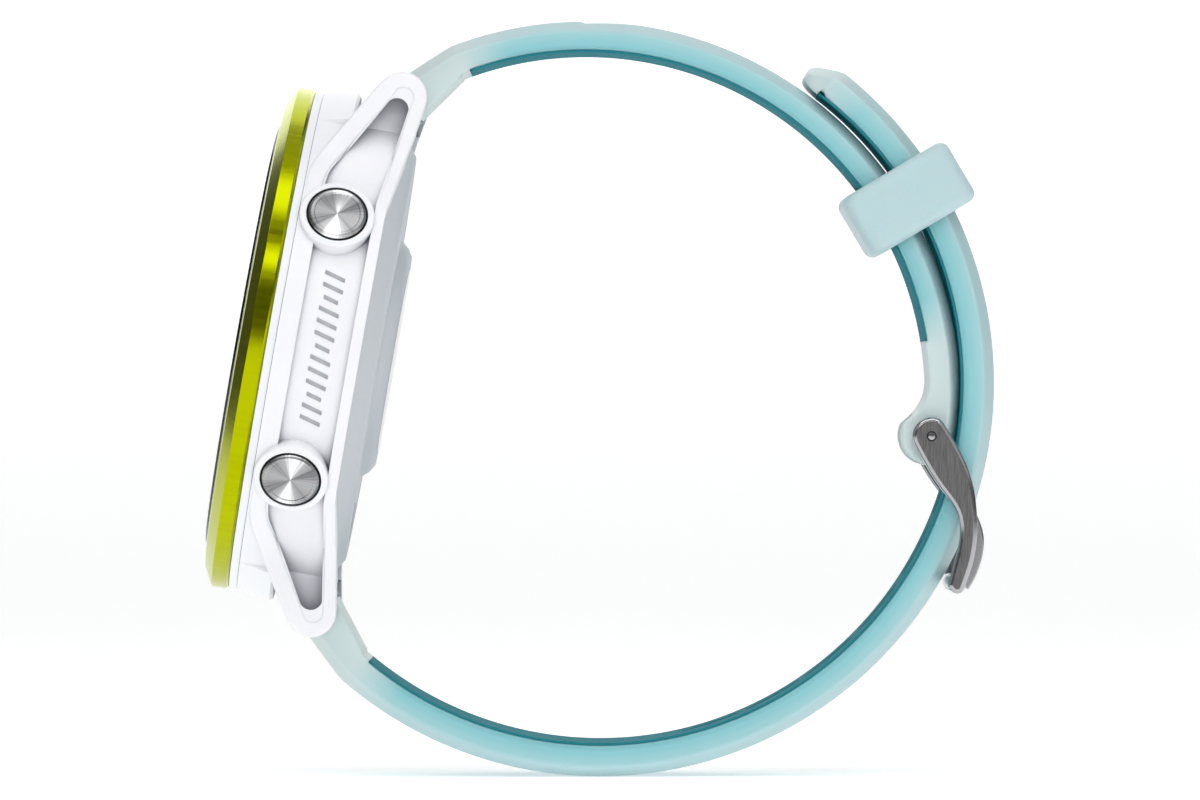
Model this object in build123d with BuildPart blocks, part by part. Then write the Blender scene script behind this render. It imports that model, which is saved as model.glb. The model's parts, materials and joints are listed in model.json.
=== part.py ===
"""A GPS running watch, closed on its silicone strap.

Row frame: millimetres, +Z up. The buckled strap stands on the ground as a loop whose axis is Y.
The dial faces -X, leaning back by DIAL_TILT, 12 o'clock is up, and the 3 o'clock side faces -Y.
The origin is under the middle of the loop's bounding box.

Case frame: x to 3 o'clock, y to 12 o'clock, z out of the dial, from the sensor's face on the wrist side.
"""
from build123d import *
import os
from math import cos, degrees, hypot, radians, sin, sqrt

os.makedirs("parts", exist_ok=True)

# ------------------------------------------------------------------ driving dimensions
# strap loop
TAIL_R_OUT = 36.4  # outer face of the tail half, an arc about the loop's centre
TAIL_T = 3.15
BUCKLE_T = 2.9  # buckle half, an arc about its own centre
BUCKLE_CENTRE = (-1.35, -1.30)  # from the loop's centre
LINING_T = 0.45
STRAP_W_LUG = 22.0
STRAP_W = 20.0
TAPER_FROM_X = -15.0  # the strap narrows between these two places along X
TAPER_TO_X = 8.0
STRAP_LAY_GAP = 0.1  # between the two halves where one lies on the other
DIAL_TILT = 10.0
TAIL_BAR_INSET = 0.23  # each spring bar's line, outside its half's inner face
BUCKLE_BAR_INSET = 0.1

# case outside, as radii and heights in the case frame
CASE_R = 23.4
CASE_BACK_Z = 2.8
PART_Z = 10.6  # parting line between the case and the front frame
BEZEL_Z = 11.4
FRAME_RING_R = 23.3
BEZEL_CORNER_Z = 13.0
BEZEL_CHAMFER_Z = 13.88
BEZEL_INNER_Z = 14.1
BEZEL_R = 23.5
BEZEL_CHAMFER_R = 21.8
BEZEL_INNER_R = 19.78
BEZEL_EDGE = 0.2
GLASS_TOP_Z = 14.3
GLASS_T = 1.2
GLASS_GAP = 0.08
CAVITY_R = 20.2
FIT = 0.05  # easy fit between fixed pieces
CUT_OVER = 1.0  # how far a cut runs past what it cuts

# lugs
BAR_Y = 23.4  # spring bar from the case axis
BAR_Z = 3.3
STRAP_SIDE_GAP = 0.2
LUG_GAP = STRAP_W_LUG + 2 * STRAP_SIDE_GAP
LUG_T = 3.6
LUG_X = LUG_GAP / 2 + LUG_T  # outer faces
LUG_TIP_R = 2.4
LUG_TIP = (23.7, 3.4)
LUG_FRONT_SLOPE = 31.1
LUG_BACK_SLOPE = 9.6
LUG_SHOULDER_R = 5.0
LUG_EDGE = 0.3  # rounding of the outer rim
STRAP_SEAT_Y = 21.0  # wall behind the strap's end
STRAP_SEAT_Z = 7.2
HOOD_R = 23.9
HOOD_SIDE_GAP = 0.3
HOOD_X = LUG_GAP / 2 - HOOD_SIDE_GAP
HOOD_EDGE = 0.3

# side recess: a channel between the buttons that widens into a pocket in each lug
CHANNEL_FRONT_Z = 8.8
CHANNEL_BACK_Z = 3.8
CHANNEL_R = 22.7
POCKET_SHOULDER = ((13.4, CHANNEL_FRONT_Z), (16.4, 8.45), (18.0, 7.45))  # a curve through these
POCKET_FRONT = (23.2, 4.5)
POCKET_TIP_R = 0.9
POCKET_TIP = (22.95, 3.35)
POCKET_BACK = (14.0, 3.8)
POCKET_WEB_SHARE = 0.444  # of a blade, left between the pocket and the strap
POCKET_WEB_X = LUG_GAP / 2 + POCKET_WEB_SHARE * (LUG_X - LUG_GAP / 2)
POCKET_FLOOR_END_Y = 20.7
POCKET_FLOOR_START = (17.6, 14.2)

# buttons
BUTTON_Z = 7.13
CHASSIS_FOOT_DROP = 1.53  # from the line of the buttons to the top of the chassis foot
CHASSIS_FOOT_Z = BUTTON_Z - CHASSIS_FOOT_DROP
BUTTON_ANGLES = {"start": 31.0, "back": -31.0, "light": 149.0, "up": 180.0, "down": 211.0}
GUARD_D = 6.9
GUARD_R = 23.95  # outer face of the guard ring, from the case axis
GUARD_EDGE = 0.2
CAP_D = 5.4
CAP_GAP = 0.15
CAP_R = 24.2
CAP_BEVEL = 0.25
CAP_T = 1.3
CAP_CUP_D = 4.2
CAP_CUP_DEPTH = 0.75
CAP_SEAT_R = 21.9  # floor of the counterbore
STEM_D = 1.5
STEM_GAP = 0.05
STEM_END_R = 19.3
BUTTON_TRAVEL = 0.6
SPRING_COIL_D = 3.2
SPRING_WIRE_D = 0.26
SPRING_TURNS = 3
BAR_SPRING_TURNS = 8
CLIP_SEAT_R = 20.5
CLIP_SEAT_D = 3.8
CLIP_D = 3.0
CLIP_T = 0.3
CLIP_NECK_D = 1.1
CLIP_MOUTH_W = 0.88
SEAL_D = 2.3
SEAL_T = 0.55
SEAL_R = 21.15
SWITCH_GAP = 0.05

# inside
CHASSIS_R_IN = 15.9
CHASSIS_R_OUT = 17.3
CHASSIS_FOOT_R = 18.8
CHASSIS_Z = (3.8, 10.2)

BOARD_R = 15.8
BOARD_T = 0.8
BOARD_Z = 7.4
PANEL_R = 18.2
PANEL_T = 1.4
FRAME_LEDGE_R = 18.4
FRAME_LIP_R = 21.2
FRAME_LEDGE_Z = 12.9
FLEX_W = 6.0
FLEX_T = 0.15
FLEX_Y = -13.6
FLEX_ENDS = (2.0, 3.0)  # lengths that lie on the board and on the panel
FLEX_BEND_R = 0.4
SHIELD_H = 1.4
SHIELD_CORNER_R = 0.6
SHIELDS = (((-5.0, 1.5), (8.0, 12.0)), ((5.0, 5.5), (9.0, 8.0)), ((4.5, -4.5), (8.0, 7.0)))
SWITCH = (2.4, 3.0)
SWITCH_BUTTON_D = 1.6
SWITCH_BUTTON_T = 0.3
BATTERY = (24.0, 20.0, 3.9)
BATTERY_CORNER_R = 2.0
BATTERY_Z = 2.9
MOTOR = (9.0, 3.2, 2.8)
MOTOR_Y = 13.0
MOTOR_CORNER_R = 0.5
ANTENNA_R = (18.8, 20.0)
ANTENNA_Z = (9.5, 10.3)

# rear cover
BUMP_R_TOP = 9.8
BUMP_R_MID = 10.5
BUMP_R_FOOT = 11.2
BUMP_MID_Z = 0.4
COVER_Z = 1.2
COVER_FLAT_R = 19.0
COVER_KNEE_R = 19.7
COVER_KNEE_Z = 1.7
COVER_RIM_R = 22.5
COVER_T = 1.0
SPIGOT_R = (19.05, 19.9)
SPIGOT_Z = 4.2
SEAL_GROOVE_Z = (3.1, 3.8)
SEAL_GROOVE_R = 19.5
SEAL_GAP = 0.02
WINDOW_R = 8.65
WINDOW_T = 0.95
WINDOW_LEDGE_R = 7.6
SENSOR_BOARD_R = 9.5
SENSOR_BOARD_T = 0.6
LED = (1.4, 0.45)  # side and height
LED_PITCH = 2.2
PHOTODIODE = 2.4
PHOTODIODE_R = 4.8
SCREW_R = 17.5
SCREW_ANGLE = 45.0
SCREW_D = 1.2
SCREW_HEAD_D = 2.2
SCREW_HEAD_T = 0.6
SCREW_END_Z = 5.0
SCREW_SINK = 0.05  # head below the cover's face
SOCKET_R = 0.5
SOCKET_DEPTH = 0.35
PORT_Y = -15.3
PORT = (7.0, 3.4)
PORT_FLOOR_Z = 2.5
PORT_WALL = 0.7
PORT_TOP_Z = 3.6
PORT_CORNER_R = 0.8
CONTACT_PITCH = 1.5
CONTACT_D = 0.9
CONTACT_PROUD = 0.5  # from the port's floor
CONTACT_TAIL = 0.1

# quick-release spring bars, with places along x in the case frame
BAR_D = 1.56
BAR_BORE_D = 1.1
BAR_BORE_FROM = 2.5
BAR_END = 10.6
BAR_TIP_D = 0.8
BAR_TIP_X = 12.4
BAR_HOLE_D = 0.92
BAR_HOLE_X = 12.5
PIN_SHAFT_X = 7.4
KNOB_X = 8.4
KNOB_D = 0.9
KNOB_LENGTH = 2.5
KNOB_DIRECTION = (-0.61, -0.79)  # in the case's y and z, at the 12 o'clock bar
RELEASE_TRAVEL = 1.4
RELEASE_SLACK = 0.25
KNUCKLE_R = 2.1

# buckle: places from the buckle pin, in the loop's plane
PIN_INSET = 0.39  # the pin's line, outside the buckle half's inner face
PIN_ANGLE = -6.6
PIN_BODY_D = 1.5
PIN_TIP_D = 0.7
PIN_GAP = 0.05
BULGE_R = 2.72
ARM_EYE_R = 1.75
ARM_IN_Y = 10.35
ARM_T = 1.6
ARM_OUTER = ((0.9, 1.5), (3.72, -4.08), (4.14, -6.6), (3.84, -11.47), (3.05, -13.9))
ARM_FOOT = (2.35, -14.5)
ARM_INNER = ((1.5, -13.8), (2.2, -11.2), (2.6, -9.0), (2.3, -7.0), (0.9, -4.9), (-1.5, -0.9))
END_BAR_D = 1.5
END_BAR = (2.25, -13.55)
TANG_W = 3.0
TANG_T = 1.0
TANG_LINE = ((0, 0), (1.55, -3.3), (3.55, -6.7), (4.55, -9.2), (4.25, -11.9), (3.2, -14.0))
TANG_EYE_R = 1.65
TANG_NOTCH = (3.0, -13.9)  # the hollow in the end bar that the tang's tip lies in
TANG_NOTCH_TILT = -29.0
TANG_SLOT_GAP = 0.3
HOLE_LENGTH = 5.4
HOLE_CORNER_R = 0.9
HOLE_W = 3.6
HOLE_ANGLE = -17.0
HOLE_PITCH = 7.0
HOLES_TOWARDS_TIP = 5
HOLES_TOWARDS_LUG = 5

# keeper
KEEPER_ANGLE = 30.7
KEEPER_LENGTH = 6.2
KEEPER_WALL = 2.0
KEEPER_GAP = 0.25
KEEPER_SIDE_GAP = 0.4
KEEPER_EDGE = 0.9
KEEPER_CORNER_R = 1.6
KEEPER_OPEN_CORNER_R = 0.3

# strap ends, as angles
TAIL_LUG_ANGLE = -145.3
TAIL_BLEND_ANGLE = -131.0
TAIL_LINING_FROM = -129.6
TAIL_LINING_TO = 52.9
TAIL_TIP = ((33.6, 55.9), (35.0, 56.1))  # tip's two corners, as radius and angle
TAIL_TIP_CHAMFER_ANGLE = 51.6
BUCKLE_LUG_ANGLE = 125.0
BUCKLE_BLEND_ANGLE = 111.0
BUCKLE_LINING_FROM = 9.2
BUCKLE_LINING_TO = 109.5
BULGE_BLEND_ANGLE = 3.0

# ------------------------------------------------------------------ the frame, worked out
TAIL_R_IN = TAIL_R_OUT - TAIL_T
BUCKLE_R_OUT = TAIL_R_IN - BUCKLE_CENTRE[0]  # so the halves touch at the loop's right
BUCKLE_R_IN = BUCKLE_R_OUT - BUCKLE_T
TAIL_BAR_R = TAIL_R_IN + TAIL_BAR_INSET
BUCKLE_BAR_R = BUCKLE_R_IN + BUCKLE_BAR_INSET
UP = (sin(radians(DIAL_TILT)), cos(radians(DIAL_TILT)))  # 12 o'clock, in the loop's plane
OUT = (-UP[1], UP[0])  # the dial's normal


def circles_meet(r1, centre2, r2):
    """Left meeting point of a circle r1 about (0, 0) and a circle r2 about centre2."""
    d = hypot(*centre2)
    along = (d * d + r1 * r1 - r2 * r2) / (2 * d)
    across = sqrt(r1 * r1 - along * along)
    return (
        (along * centre2[0] + across * centre2[1]) / d,
        (along * centre2[1] - across * centre2[0]) / d,
    )


def polar(radius, angle, centre=(0, 0)):
    """A point in the loop's plane."""
    return (centre[0] + radius * cos(radians(angle)), centre[1] + radius * sin(radians(angle)))


# The case hangs between the two halves: each spring bar lies on its half's own circle.
BARS_APART = 2 * BAR_Y
low_bar = circles_meet(
    TAIL_BAR_R,
    (BUCKLE_CENTRE[0] - BARS_APART * UP[0], BUCKLE_CENTRE[1] - BARS_APART * UP[1]),
    BUCKLE_BAR_R,
)
high_bar = (low_bar[0] + BARS_APART * UP[0], low_bar[1] + BARS_APART * UP[1])
case_at = tuple(low_bar[i] + BAR_Y * UP[i] - BAR_Z * OUT[i] for i in (0, 1))
pin_at = polar(BUCKLE_R_IN + PIN_INSET, PIN_ANGLE, BUCKLE_CENTRE)

GLASS_R = BEZEL_INNER_R - GLASS_GAP
x_low = case_at[0] - UP[0] * GLASS_R + OUT[0] * GLASS_TOP_Z
LOOP_X = -(x_low + TAIL_R_OUT) / 2
LOOP_Z = TAIL_R_OUT

LOOP = Plane(origin=(LOOP_X, 0, LOOP_Z), x_dir=(1, 0, 0), z_dir=(0, -1, 0))
CASE = Plane(
    origin=(LOOP_X + case_at[0], 0, LOOP_Z + case_at[1]),
    x_dir=(0, -1, 0),
    z_dir=(OUT[0], 0, OUT[1]),
)
SIDE = Plane(origin=CASE.origin, x_dir=CASE.y_dir, z_dir=CASE.x_dir)  # y and z of the case
SECTION = Plane(origin=CASE.origin, x_dir=CASE.x_dir, z_dir=-CASE.y_dir)  # radius and height
DIAL_AXIS = Axis(CASE.origin, CASE.z_dir)


def radial_plane(angle, radius, height=BUTTON_Z):
    """A plane facing outwards across a button's axis, at a radius from the case axis."""
    outwards = CASE.x_dir * cos(radians(angle)) + CASE.y_dir * sin(radians(angle))
    return Plane(
        origin=CASE.origin + CASE.z_dir * height + outwards * radius,
        x_dir=CASE.z_dir,
        z_dir=outwards,
    )


def save(piece, name):
    """Label a finished piece and write its STEP file."""
    piece.part.label = name
    export_step(piece.part, f"parts/{name}.step")


def turned(points):
    """A solid of revolution about the case axis, from its half section's (radius, height) points."""
    with BuildPart() as piece:
        with BuildSketch(SECTION):
            with BuildLine():
                Polyline(*points, close=True)
            make_face()
        revolve(axis=DIAL_AXIS)
    return piece


def coil_spring(base, coil_d, length, turns):
    """A helix of spring wire that rises from a base plane; length is between the end turns' centres."""
    with BuildPart() as spring:
        with BuildLine() as coil:
            Helix(length / turns, length, (coil_d - SPRING_WIRE_D) / 2, base.origin, base.z_dir)
        with BuildSketch(Plane(origin=coil.line @ 0, z_dir=coil.line % 0)):
            Circle(SPRING_WIRE_D / 2)
        sweep()
    return spring


def disc(radius, low, height):
    """A round plate about the case axis."""
    with BuildPart() as piece:
        with BuildSketch(CASE.offset(low)):
            Circle(radius)
        extrude(amount=height)
    return piece


# ------------------------------------------------------------------ rear cover outline
COVER_OUTSIDE = [
    (BUMP_R_TOP, 0),
    (BUMP_R_MID, BUMP_MID_Z),
    (BUMP_R_FOOT, COVER_Z),
    (COVER_FLAT_R, COVER_Z),
    (COVER_KNEE_R, COVER_KNEE_Z),
    (COVER_RIM_R, CASE_BACK_Z),
]

# ------------------------------------------------------------------ main case
# Strap seats: the space between each pair of lugs, under the hood.
with BuildPart() as strap_seats:
    with BuildSketch(CASE.offset(STRAP_SEAT_Z)):
        for side in (1, -1):
            with Locations((0, side * (STRAP_SEAT_Y + BAR_Y / 2))):
                Rectangle(LUG_GAP, BAR_Y)
    extrude(amount=-STRAP_SEAT_Z - CASE_BACK_Z)



def on_lug_rim(edge):
    """True for the edges round a blade's outer face, leaving out the upright one where drum and lug meet."""
    middle = CASE.to_local_coords(edge @ 0.5)
    outside = abs(middle.X) > LUG_X - FIT and abs(middle.Y) > LUG_GAP / 2 - FIT
    on_flats = min(abs(middle.Z - PART_Z), abs(middle.Z - CASE_BACK_Z)) < FIT
    upright = abs((edge % 0.5).dot(CASE.z_dir)) > 1 - FIT
    return outside and not on_flats and not upright


# Lug blades: the side outline through the whole case, trimmed to the plan of drum and lugs.
front = radians(LUG_FRONT_SLOPE)
back = radians(LUG_BACK_SLOPE)
tip_front = (LUG_TIP[0] + LUG_TIP_R * sin(front), LUG_TIP[1] + LUG_TIP_R * cos(front))
tip_back = (LUG_TIP[0] - LUG_TIP_R * sin(back), LUG_TIP[1] - LUG_TIP_R * cos(back))
shoulder = (tip_front[0] - (PART_Z - tip_front[1]) * cos(front) / sin(front), PART_Z)
heel = (tip_back[0] - (CASE_BACK_Z - tip_back[1]) * cos(back) / sin(back), CASE_BACK_Z)
with BuildPart() as blades:
    with BuildSketch(SIDE):
        with BuildLine():
            Line((0, PART_Z), shoulder)
            Line(shoulder, tip_front)
            ThreePointArc(tip_front, (LUG_TIP[0] + LUG_TIP_R, LUG_TIP[1]), tip_back)
            Line(tip_back, heel)
            Line(heel, (0, CASE_BACK_Z))
            Line((0, CASE_BACK_Z), (0, PART_Z))
        lug_face = make_face()
        fillet(lug_face.vertices().sort_by_distance((*shoulder, 0))[0], LUG_SHOULDER_R)
        mirror(about=Plane.YZ)
    extrude(amount=CASE_R, both=True)
    with BuildSketch(CASE.offset(-LUG_TIP_R)):
        Circle(CASE_R)
        Rectangle(2 * LUG_X, 4 * BAR_Y)
    extrude(amount=PART_Z + LUG_TIP_R, mode=Mode.INTERSECT)
    fillet([edge for edge in blades.edges() if on_lug_rim(edge)], LUG_EDGE)

# Hood: the drum flares towards the strap's end, between the lugs.
with BuildPart() as hood:
    with BuildSketch(SECTION):
        with BuildLine():
            Polyline(
                (CAVITY_R, PART_Z),
                (CASE_R, PART_Z),
                (HOOD_R, STRAP_SEAT_Z + HOOD_EDGE),
                (HOOD_R - HOOD_EDGE, STRAP_SEAT_Z),
                (CAVITY_R, STRAP_SEAT_Z),
                close=True,
            )
        make_face()
    revolve(axis=DIAL_AXIS)
    with BuildSketch(CASE):
        Rectangle(2 * HOOD_X, 3 * CASE_R)
    extrude(amount=GLASS_TOP_Z, mode=Mode.INTERSECT)

# Side recess: channel and pockets down to a floor that follows the drum, then cuts to the lug webs.
pocket_way = tuple(POCKET_FRONT[i] - POCKET_SHOULDER[-1][i] for i in (0, 1))
with BuildPart() as side_recess:
    with BuildSketch(SIDE):
        with BuildLine():
            Line((0, CHANNEL_FRONT_Z), POCKET_SHOULDER[0])
            Spline(*POCKET_SHOULDER, tangents=[(1, 0), pocket_way])
            Line(POCKET_SHOULDER[-1], POCKET_FRONT)
            ThreePointArc(
                POCKET_FRONT,
                (POCKET_TIP[0] + POCKET_TIP_R, POCKET_TIP[1]),
                (POCKET_TIP[0], POCKET_TIP[1] - POCKET_TIP_R),
            )
            Line((POCKET_TIP[0], POCKET_TIP[1] - POCKET_TIP_R), POCKET_BACK)
            Line(POCKET_BACK, (0, CHANNEL_BACK_Z))
            Line((0, CHANNEL_BACK_Z), (0, CHANNEL_FRONT_Z))
        make_face()
        mirror(about=Plane.YZ)
    extrude(amount=1.2 * CASE_R, both=True)
    with BuildSketch(CASE):
        Circle(CHANNEL_R)
        Rectangle(2 * POCKET_WEB_X, 4 * BAR_Y)
        with BuildLine():
            Polyline(
                POCKET_FLOOR_START,
                (POCKET_WEB_X, POCKET_FLOOR_END_Y),
                (-POCKET_WEB_X, POCKET_FLOOR_END_Y),
                (-POCKET_FLOOR_START[0], POCKET_FLOOR_START[1]),
                (-POCKET_FLOOR_START[0], -POCKET_FLOOR_START[1]),
                (-POCKET_WEB_X, -POCKET_FLOOR_END_Y),
                (POCKET_WEB_X, -POCKET_FLOOR_END_Y),
                (POCKET_FLOOR_START[0], -POCKET_FLOOR_START[1]),
                close=True,
            )
        make_face()
    extrude(amount=PART_Z, mode=Mode.SUBTRACT)


def guard_ring(angle):
    """The solid boss that a button's bore is cut into, with a softened rim."""
    with BuildPart() as boss:
        with BuildSketch(radial_plane(angle, CAVITY_R)):
            Circle(GUARD_D / 2)
        extrude(amount=GUARD_R - CAVITY_R)
        outwards = Axis(CASE.origin, radial_plane(angle, 0).z_dir)
        fillet(boss.edges().sort_by(outwards)[-1], GUARD_EDGE)
    return boss


# Everything that the rear cover needs clear, and a little more.
cover_room = turned(
    [(0, -CUT_OVER), (BUMP_R_TOP + FIT, -CUT_OVER), (COVER_FLAT_R + FIT, COVER_Z - CUT_OVER)]
    + [(COVER_KNEE_R + FIT, COVER_KNEE_Z - CUT_OVER)]
    + [(COVER_RIM_R + FIT, COVER_Z), (COVER_RIM_R + FIT, CASE_BACK_Z), (0, CASE_BACK_Z)]
)

with BuildPart() as main_case:
    with BuildSketch(CASE.offset(CASE_BACK_Z)):
        Circle(CASE_R)
    extrude(amount=PART_Z - CASE_BACK_Z)
    add(blades.part)
    add(hood.part)
    add(side_recess.part, mode=Mode.SUBTRACT)
    for angle in BUTTON_ANGLES.values():
        add(guard_ring(angle).part)
    add(cover_room.part, mode=Mode.SUBTRACT)
    add(strap_seats.part, mode=Mode.SUBTRACT)
    with BuildSketch(CASE.offset(CASE_BACK_Z)):
        Circle(CAVITY_R)
    extrude(amount=PART_Z - CASE_BACK_Z, mode=Mode.SUBTRACT)
    for angle in BUTTON_ANGLES.values():
        with BuildSketch(radial_plane(angle, CAP_SEAT_R)):
            Circle(CAP_D / 2 + CAP_GAP)
        extrude(amount=GUARD_R - CAP_SEAT_R + CUT_OVER, mode=Mode.SUBTRACT)
        with BuildSketch(radial_plane(angle, CHASSIS_FOOT_R)):
            Circle(STEM_D / 2 + STEM_GAP)
        extrude(amount=CAP_SEAT_R - CHASSIS_FOOT_R, mode=Mode.SUBTRACT)
        with BuildSketch(radial_plane(angle, SEAL_R)):
            Circle(SEAL_D / 2)
        extrude(amount=SEAL_T, mode=Mode.SUBTRACT)
        with BuildSketch(radial_plane(angle, CHASSIS_FOOT_R)):
            Circle(CLIP_SEAT_D / 2)
        extrude(amount=CLIP_SEAT_R - CHASSIS_FOOT_R, mode=Mode.SUBTRACT)
    with BuildSketch(SIDE.offset(-BAR_HOLE_X)):
        with Locations((BAR_Y, BAR_Z), (-BAR_Y, BAR_Z)):
            Circle(BAR_HOLE_D / 2)
    extrude(amount=2 * BAR_HOLE_X, mode=Mode.SUBTRACT)
save(main_case, "main_case")

# ------------------------------------------------------------------ front: frame, bezel, display
front_frame_ring = turned(
    [
        (FRAME_LEDGE_R, PART_Z),
        (FRAME_RING_R, PART_Z),
        (FRAME_RING_R, BEZEL_Z),
        (FRAME_LIP_R, BEZEL_Z),
        (FRAME_LIP_R, FRAME_LEDGE_Z),
        (FRAME_LEDGE_R, FRAME_LEDGE_Z),
    ]
)
save(front_frame_ring, "front_frame_ring")

bezel = turned(
    [
        (FRAME_LIP_R + FIT, BEZEL_Z),
        (BEZEL_R - BEZEL_EDGE, BEZEL_Z),
        (BEZEL_R, BEZEL_Z + BEZEL_EDGE),
        (BEZEL_R, BEZEL_CORNER_Z),
        (BEZEL_CHAMFER_R, BEZEL_CHAMFER_Z),
        (BEZEL_INNER_R, BEZEL_INNER_Z),
        (BEZEL_INNER_R, FRAME_LEDGE_Z),
        (FRAME_LIP_R + FIT, FRAME_LEDGE_Z),
    ]
)
save(bezel, "bezel")

GLASS_Z = GLASS_TOP_Z - GLASS_T
with BuildPart() as display_glass:
    with BuildSketch(CASE.offset(GLASS_Z)):
        Circle(GLASS_R)
    extrude(amount=GLASS_T)
    chamfer(display_glass.faces().sort_by(DIAL_AXIS)[-1].edges(), BEZEL_EDGE)
save(display_glass, "display_glass")

with BuildPart() as display_gasket:
    with BuildSketch(CASE.offset(FRAME_LEDGE_Z)):
        Circle(GLASS_R - FIT)
        Circle(FRAME_LEDGE_R + FIT, mode=Mode.SUBTRACT)
    extrude(amount=GLASS_Z - FRAME_LEDGE_Z)
save(display_gasket, "display_gasket")

display_panel = disc(PANEL_R, GLASS_Z - PANEL_T, PANEL_T)
save(display_panel, "display_panel")

with BuildPart() as display_flex:
    with BuildSketch(SIDE):
        with BuildLine():
            FilletPolyline(
                (FLEX_Y + FLEX_ENDS[0], BOARD_Z + BOARD_T + FLEX_T / 2),
                (FLEX_Y, BOARD_Z + BOARD_T + FLEX_T / 2),
                (FLEX_Y, GLASS_Z - PANEL_T - FLEX_T / 2),
                (FLEX_Y + FLEX_ENDS[1], GLASS_Z - PANEL_T - FLEX_T / 2),
                radius=FLEX_BEND_R,
            )
            offset(amount=FLEX_T / 2)
        make_face()
    extrude(amount=FLEX_W / 2, both=True)
save(display_flex, "display_flex")

# ------------------------------------------------------------------ inside: chassis, boards, battery
with BuildPart() as inner_chassis:
    with BuildSketch(CASE.offset(CHASSIS_Z[0])):
        Circle(CHASSIS_FOOT_R)
    extrude(amount=CHASSIS_FOOT_Z - CHASSIS_Z[0])
    with BuildSketch(CASE.offset(CHASSIS_FOOT_Z)):
        Circle(CHASSIS_R_OUT)
    extrude(amount=CHASSIS_Z[1] - CHASSIS_FOOT_Z)
    with BuildSketch(CASE.offset(CHASSIS_Z[0])):
        Circle(CHASSIS_R_IN)
    extrude(amount=CHASSIS_Z[1] - CHASSIS_Z[0], mode=Mode.SUBTRACT)
    with BuildSketch(CASE.offset(CHASSIS_Z[0])):
        with PolarLocations(SCREW_R, 4, start_angle=SCREW_ANGLE):
            Circle(SCREW_D / 2)
    extrude(amount=SCREW_END_Z - CHASSIS_Z[0], mode=Mode.SUBTRACT)
save(inner_chassis, "inner_chassis")

main_board = disc(BOARD_R, BOARD_Z, BOARD_T)
save(main_board, "main_board")

with BuildPart() as board_shields:
    with BuildSketch(CASE.offset(BOARD_Z + BOARD_T)):
        for centre, size in SHIELDS:
            with Locations(centre):
                RectangleRounded(*size, SHIELD_CORNER_R)
    extrude(amount=SHIELD_H)
save(board_shields, "board_shields")

with BuildPart() as battery:
    with BuildSketch(CASE.offset(BATTERY_Z)):
        RectangleRounded(BATTERY[0], BATTERY[1], BATTERY_CORNER_R)
    extrude(amount=BATTERY[2])
save(battery, "battery")

with BuildPart() as vibration_motor:
    with BuildSketch(CASE.offset(BATTERY_Z)):
        with Locations((0, MOTOR_Y)):
            RectangleRounded(MOTOR[0], MOTOR[1], MOTOR_CORNER_R)
    extrude(amount=MOTOR[2])
save(vibration_motor, "vibration_motor")

with BuildPart() as antenna_ring:
    with BuildSketch(CASE.offset(ANTENNA_Z[0])):
        Circle(ANTENNA_R[1])
        Circle(ANTENNA_R[0], mode=Mode.SUBTRACT)
    extrude(amount=ANTENNA_Z[1] - ANTENNA_Z[0])
save(antenna_ring, "antenna_ring")

# ------------------------------------------------------------------ rear cover and what it carries
cover_shell = turned(
    COVER_OUTSIDE
    + [
        (SPIGOT_R[1], CASE_BACK_Z),
        (SPIGOT_R[1], SPIGOT_Z),
        (SPIGOT_R[0], SPIGOT_Z),
        (SPIGOT_R[0], COVER_Z + COVER_T),
        (BUMP_R_FOOT, COVER_Z + COVER_T),
        (BUMP_R_TOP, WINDOW_T + PORT_WALL),
        (WINDOW_LEDGE_R, WINDOW_T + PORT_WALL),
        (WINDOW_LEDGE_R, WINDOW_T),
        (WINDOW_R, WINDOW_T),
        (WINDOW_R, 0),
    ]
)
with BuildPart() as rear_cover:
    add(cover_shell.part)
    with BuildSketch(CASE.offset(COVER_Z)):
        with Locations((0, PORT_Y)):
            RectangleRounded(PORT[0] + 2 * PORT_WALL, PORT[1] + 2 * PORT_WALL, PORT_CORNER_R + PORT_WALL)
    extrude(amount=PORT_TOP_Z - COVER_Z)
    with BuildSketch(CASE.offset(COVER_Z)):
        with Locations((0, PORT_Y)):
            RectangleRounded(*PORT, PORT_CORNER_R)
    extrude(amount=PORT_FLOOR_Z - COVER_Z, mode=Mode.SUBTRACT)
    with BuildSketch(CASE.offset(PORT_FLOOR_Z)):
        with Locations((0, PORT_Y)):
            with GridLocations(CONTACT_PITCH, 1, 4, 1):
                Circle(CONTACT_D / 2)
    extrude(amount=PORT_TOP_Z - PORT_FLOOR_Z, mode=Mode.SUBTRACT)
    with BuildSketch(CASE.offset(COVER_Z)):
        with PolarLocations(SCREW_R, 4, start_angle=SCREW_ANGLE):
            Circle(SCREW_D / 2 + FIT)
    extrude(amount=COVER_T + CUT_OVER, mode=Mode.SUBTRACT)
    with BuildSketch(CASE.offset(COVER_Z)):
        with PolarLocations(SCREW_R, 4, start_angle=SCREW_ANGLE):
            Circle(SCREW_HEAD_D / 2 + FIT)
    extrude(amount=SCREW_HEAD_T, mode=Mode.SUBTRACT)
    with BuildSketch(CASE.offset(SEAL_GROOVE_Z[0])):
        Circle(CAVITY_R)
        Circle(SEAL_GROOVE_R, mode=Mode.SUBTRACT)
    extrude(amount=SEAL_GROOVE_Z[1] - SEAL_GROOVE_Z[0], mode=Mode.SUBTRACT)
    with BuildSketch(CASE):
        for side in (1, -1):
            with Locations((0, side * (STRAP_SEAT_Y + BAR_Y / 2))):
                Rectangle(LUG_GAP, BAR_Y)
    extrude(amount=CASE_BACK_Z, mode=Mode.SUBTRACT)
save(rear_cover, "rear_cover")

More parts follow.
